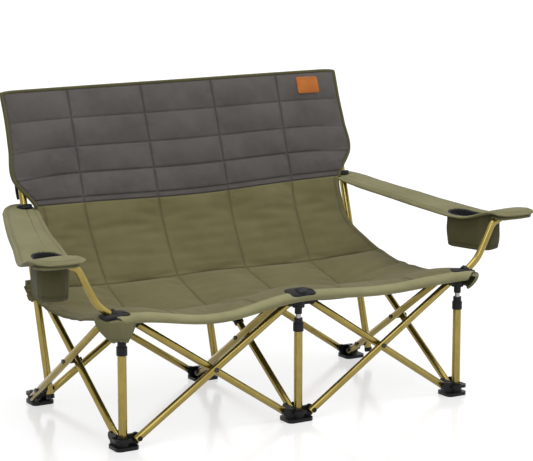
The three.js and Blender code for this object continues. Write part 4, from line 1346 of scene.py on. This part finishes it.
strap = {
    "half": 17, "thick": 1.2, "corner": 1.0, "path": [(448, 331), (462, 327.5), (474, 327), (490, 327.3)],
}
for column, x in columns.items():
    at = np.linspace(0, len(strap["path"]) - 1, 24)
    path = splineThrough([(x, y, z) for y, z in strap["path"]], at)
    sweptPiece(f"seatStrap_{column}", path, roundedRing(strap["half"], strap["thick"], strap["corner"], 4),
               (0, 0, 1), blackWebbing, f"hub_rear_{column}")

tab = {
    "height": 592, "half": 10, "wall": 1.3, "corner": 0.9, "reach": 11.6, "stretch": 0.3, "towards": 70,
    "stretchPower": 6,
    # the strap that hangs from the band down to the armrest: behind the post, and its height
    "strap": [(13, 602), (21, 588), (24, 566), (24, 548), (20, 534)], "strapHalf": 9,
}


def makeTab(side, outward):
    # a band of webbing round the rear post, drawn out towards the head panel's edge by a power of a cosine,
    # and the strap that hangs from it
    turn = np.linspace(0, 2 * math.pi, 72, endpoint=False)
    centre = postAtHeight(outward * baySpan, tab["height"])
    facing = np.clip(np.cos(turn + math.radians(tab["towards"])), 0, 1)
    stretch = 1 + tab["stretch"] * facing ** tab["stretchPower"]
    plan = np.stack([np.cos(turn) * outward, np.sin(turn), 0 * turn], -1) * (tab["reach"] * stretch)[:, None]
    sweptPiece(f"postTab_{side}", centre + plan, roundedRing(tab["wall"], tab["half"], tab["corner"], 4),
               (0, 0, 1), blackWebbing, f"post_rear_{side}", closed=True)
    spots = [postAtHeight(outward * baySpan, z) + (0, behind, 0) for behind, z in tab["strap"]]
    path = splineThrough(spots, np.linspace(0, len(spots) - 1, 40))
    sweptPiece(f"armStrap_{side}", path, roundedRing(tab["strapHalf"], tab["wall"], tab["corner"], 4),
               (0, 1, 0), blackWebbing, f"post_rear_{side}")


for side, outward in outwards.items():
    makeTab(side, outward)

barClip = {
    "y": 309,
    "stations": [(-16, 9.6), (-16, 12), (-14, 13.2), (6, 13.2), (8, 15), (9, 18.5), (15, 18.5), (16.5, 17),
                 (16.5, 9.6), (-16, 9.6)],
}
along = np.array([0, rearPinY - frontPinY, high - low]) / math.hypot(rearPinY - frontPinY, high - low)
spot = np.array([0, frontPinY, low]) + along * (barClip["y"] - frontPinY) / along[1]
lathePiece("barClip", spot, along, barClip["stations"], blackPlastic, "bar_side_center_inner")
print("trim made")


# rigid black pieces stay as frame nodes, with merged corners and soft shading

shading = {"mergeWithin": 1e-5, "sharpFrom": 34}


def softShade():
    # a modifier that merges the loose corners and shades smooth below an angle
    tree = bpy.data.node_groups.new("softShade", "GeometryNodeTree")
    tree.interface.new_socket(name="Geometry", in_out="INPUT", socket_type="NodeSocketGeometry")
    tree.interface.new_socket(name="Geometry", in_out="OUTPUT", socket_type="NodeSocketGeometry")
    source = tree.nodes.new("NodeGroupInput")
    merge = addNode(tree, "GeometryNodeMergeByDistance", {
        "Geometry": source.outputs[0], "Distance": shading["mergeWithin"]})
    bare = addNode(tree, "GeometryNodeRemoveAttribute", {
        "Geometry": merge.outputs[0], "Name": "custom_normal"})
    smooth = addNode(tree, "GeometryNodeSetShadeSmooth", {"Geometry": bare.outputs[0]})
    angle = addNode(tree, "GeometryNodeInputMeshEdgeAngle").outputs[0]
    limit = math.radians(shading["sharpFrom"])
    soft = addNode(tree, "FunctionNodeCompare", {0: angle, 1: limit}, operation="LESS_THAN").outputs[0]
    edges = addNode(tree, "GeometryNodeSetShadeSmooth", {
        "Geometry": smooth.outputs[0], "Shade Smooth": soft}, domain="EDGE")
    target = tree.nodes.new("NodeGroupOutput")
    tree.links.new(edges.outputs[0], target.inputs[0])
    return tree


shadeGroup = softShade()
for name, node in cadNodes.items():
    if node.hide_render:
        continue
    finish = rivetSteel if name.startswith(("rivet", "pin")) else blackPlastic
    node.data.materials.clear()
    node.data.materials.append(finish)
    modifier = node.modifiers.new("softShade", "NODES")
    modifier.node_group = shadeGroup
print("frame nodes dressed")


# floor, light and camera

stage = {
    "floor": (182, 182, 183), "gloss": 0.35, "rough": 0.17, "roughSpread": (0.03, 0.03), "blotch": 3.0,
    "world": 0.33, "half": 60.0, "glow": 0.61,
}


def seenRays(tree):
    # 1 for rays from the camera, a reflection or a clear surface, which see the background white
    rays = addNode(tree, "ShaderNodeLightPath").outputs
    seen = calc(tree, "ADD", rays["Is Camera Ray"], rays["Is Glossy Ray"], clamp=True)
    return calc(tree, "ADD", seen, rays["Is Transmission Ray"], clamp=True)


def makeStage():
    # a square floor and an even world, both white where they are seen and dimmer where they light the chair
    floor = bpy.data.meshes.new("studioFloor")
    corners = stage["half"] * np.array([(-1, -1, 0), (1, -1, 0), (1, 1, 0), (-1, 1, 0)])
    floor.from_pydata(corners.tolist(), [], [(0, 1, 2, 3)])
    material, tree, shader = startFinish("studioFloor")
    place = addNode(tree, "ShaderNodeTexCoord").outputs["Object"]
    roughInto(tree, shader, noiseOf(tree, place, stage["blotch"]), stage)
    shader.inputs["Base Color"].default_value = tint(stage["floor"])
    shader.inputs["Specular IOR Level"].default_value = stage["gloss"]
    tree.links.new(calc(tree, "MULTIPLY", seenRays(tree), stage["glow"]), shader.inputs["Emission Strength"])
    shader.inputs["Emission Color"].default_value = (1, 1, 1, 1)
    floor.materials.append(material)
    piece = bpy.data.objects.new("studioFloor", floor)
    bpy.context.collection.objects.link(piece)
    world = bpy.data.worlds.new("studioWorld")
    bpy.context.scene.world = world
    world.use_nodes = True
    tree = world.node_tree
    tree.nodes.clear()
    strength = spread(tree, seenRays(tree), 0.0, 1.0, stage["world"], 1.0)
    light = addNode(tree, "ShaderNodeBackground", {"Color": (1, 1, 1, 1), "Strength": strength})
    addNode(tree, "ShaderNodeOutputWorld", {"Surface": light.outputs[0]})


makeStage()

lamps = {
    "topLamp": {"at": (0.2, -0.6, 3.4), "to": (0, 0, 0.4), "size": 3.2, "power": 66},
    "keyLamp": {"at": (-2.6, -3.4, 2.6), "to": (0, 0, 0.5), "size": 2.4, "power": 42},
    "fillLamp": {"at": (3.4, -2.6, 1.9), "to": (0, 0, 0.5), "size": 2.6, "power": 12},
}
for name, lamp in lamps.items():
    data = bpy.data.lights.new(name, "AREA")
    data.size, data.energy = lamp["size"], lamp["power"]
    light = bpy.data.objects.new(name, data)
    light.location = lamp["at"]
    light.rotation_euler = (Vector(lamp["to"]) - Vector(lamp["at"])).to_track_quat("-Z", "Y").to_euler()
    bpy.context.collection.objects.link(light)

view = {"at": (-2.4794, -4.2645, 1.3257), "turn": -31.06, "down": 10.10, "lens": 127.51, "sensor": 36}
turn, down = math.radians(view["turn"]), math.radians(view["down"])
back = Vector((math.sin(turn) * math.cos(down), -math.cos(turn) * math.cos(down), math.sin(down)))
right = Vector((math.cos(turn), math.sin(turn), 0))
lens = bpy.data.cameras.new("photoCamera")
lens.lens, lens.sensor_width, lens.sensor_fit = view["lens"], view["sensor"], "HORIZONTAL"
camera = bpy.data.objects.new("photoCamera", lens)
facing = Matrix((right, back.cross(right), back)).transposed().to_4x4()
camera.matrix_world = Matrix.Translation(view["at"]) @ facing
bpy.context.collection.objects.link(camera)
bpy.context.scene.camera = camera
bpy.context.scene.view_settings.view_transform = "Standard"
print("stage set")
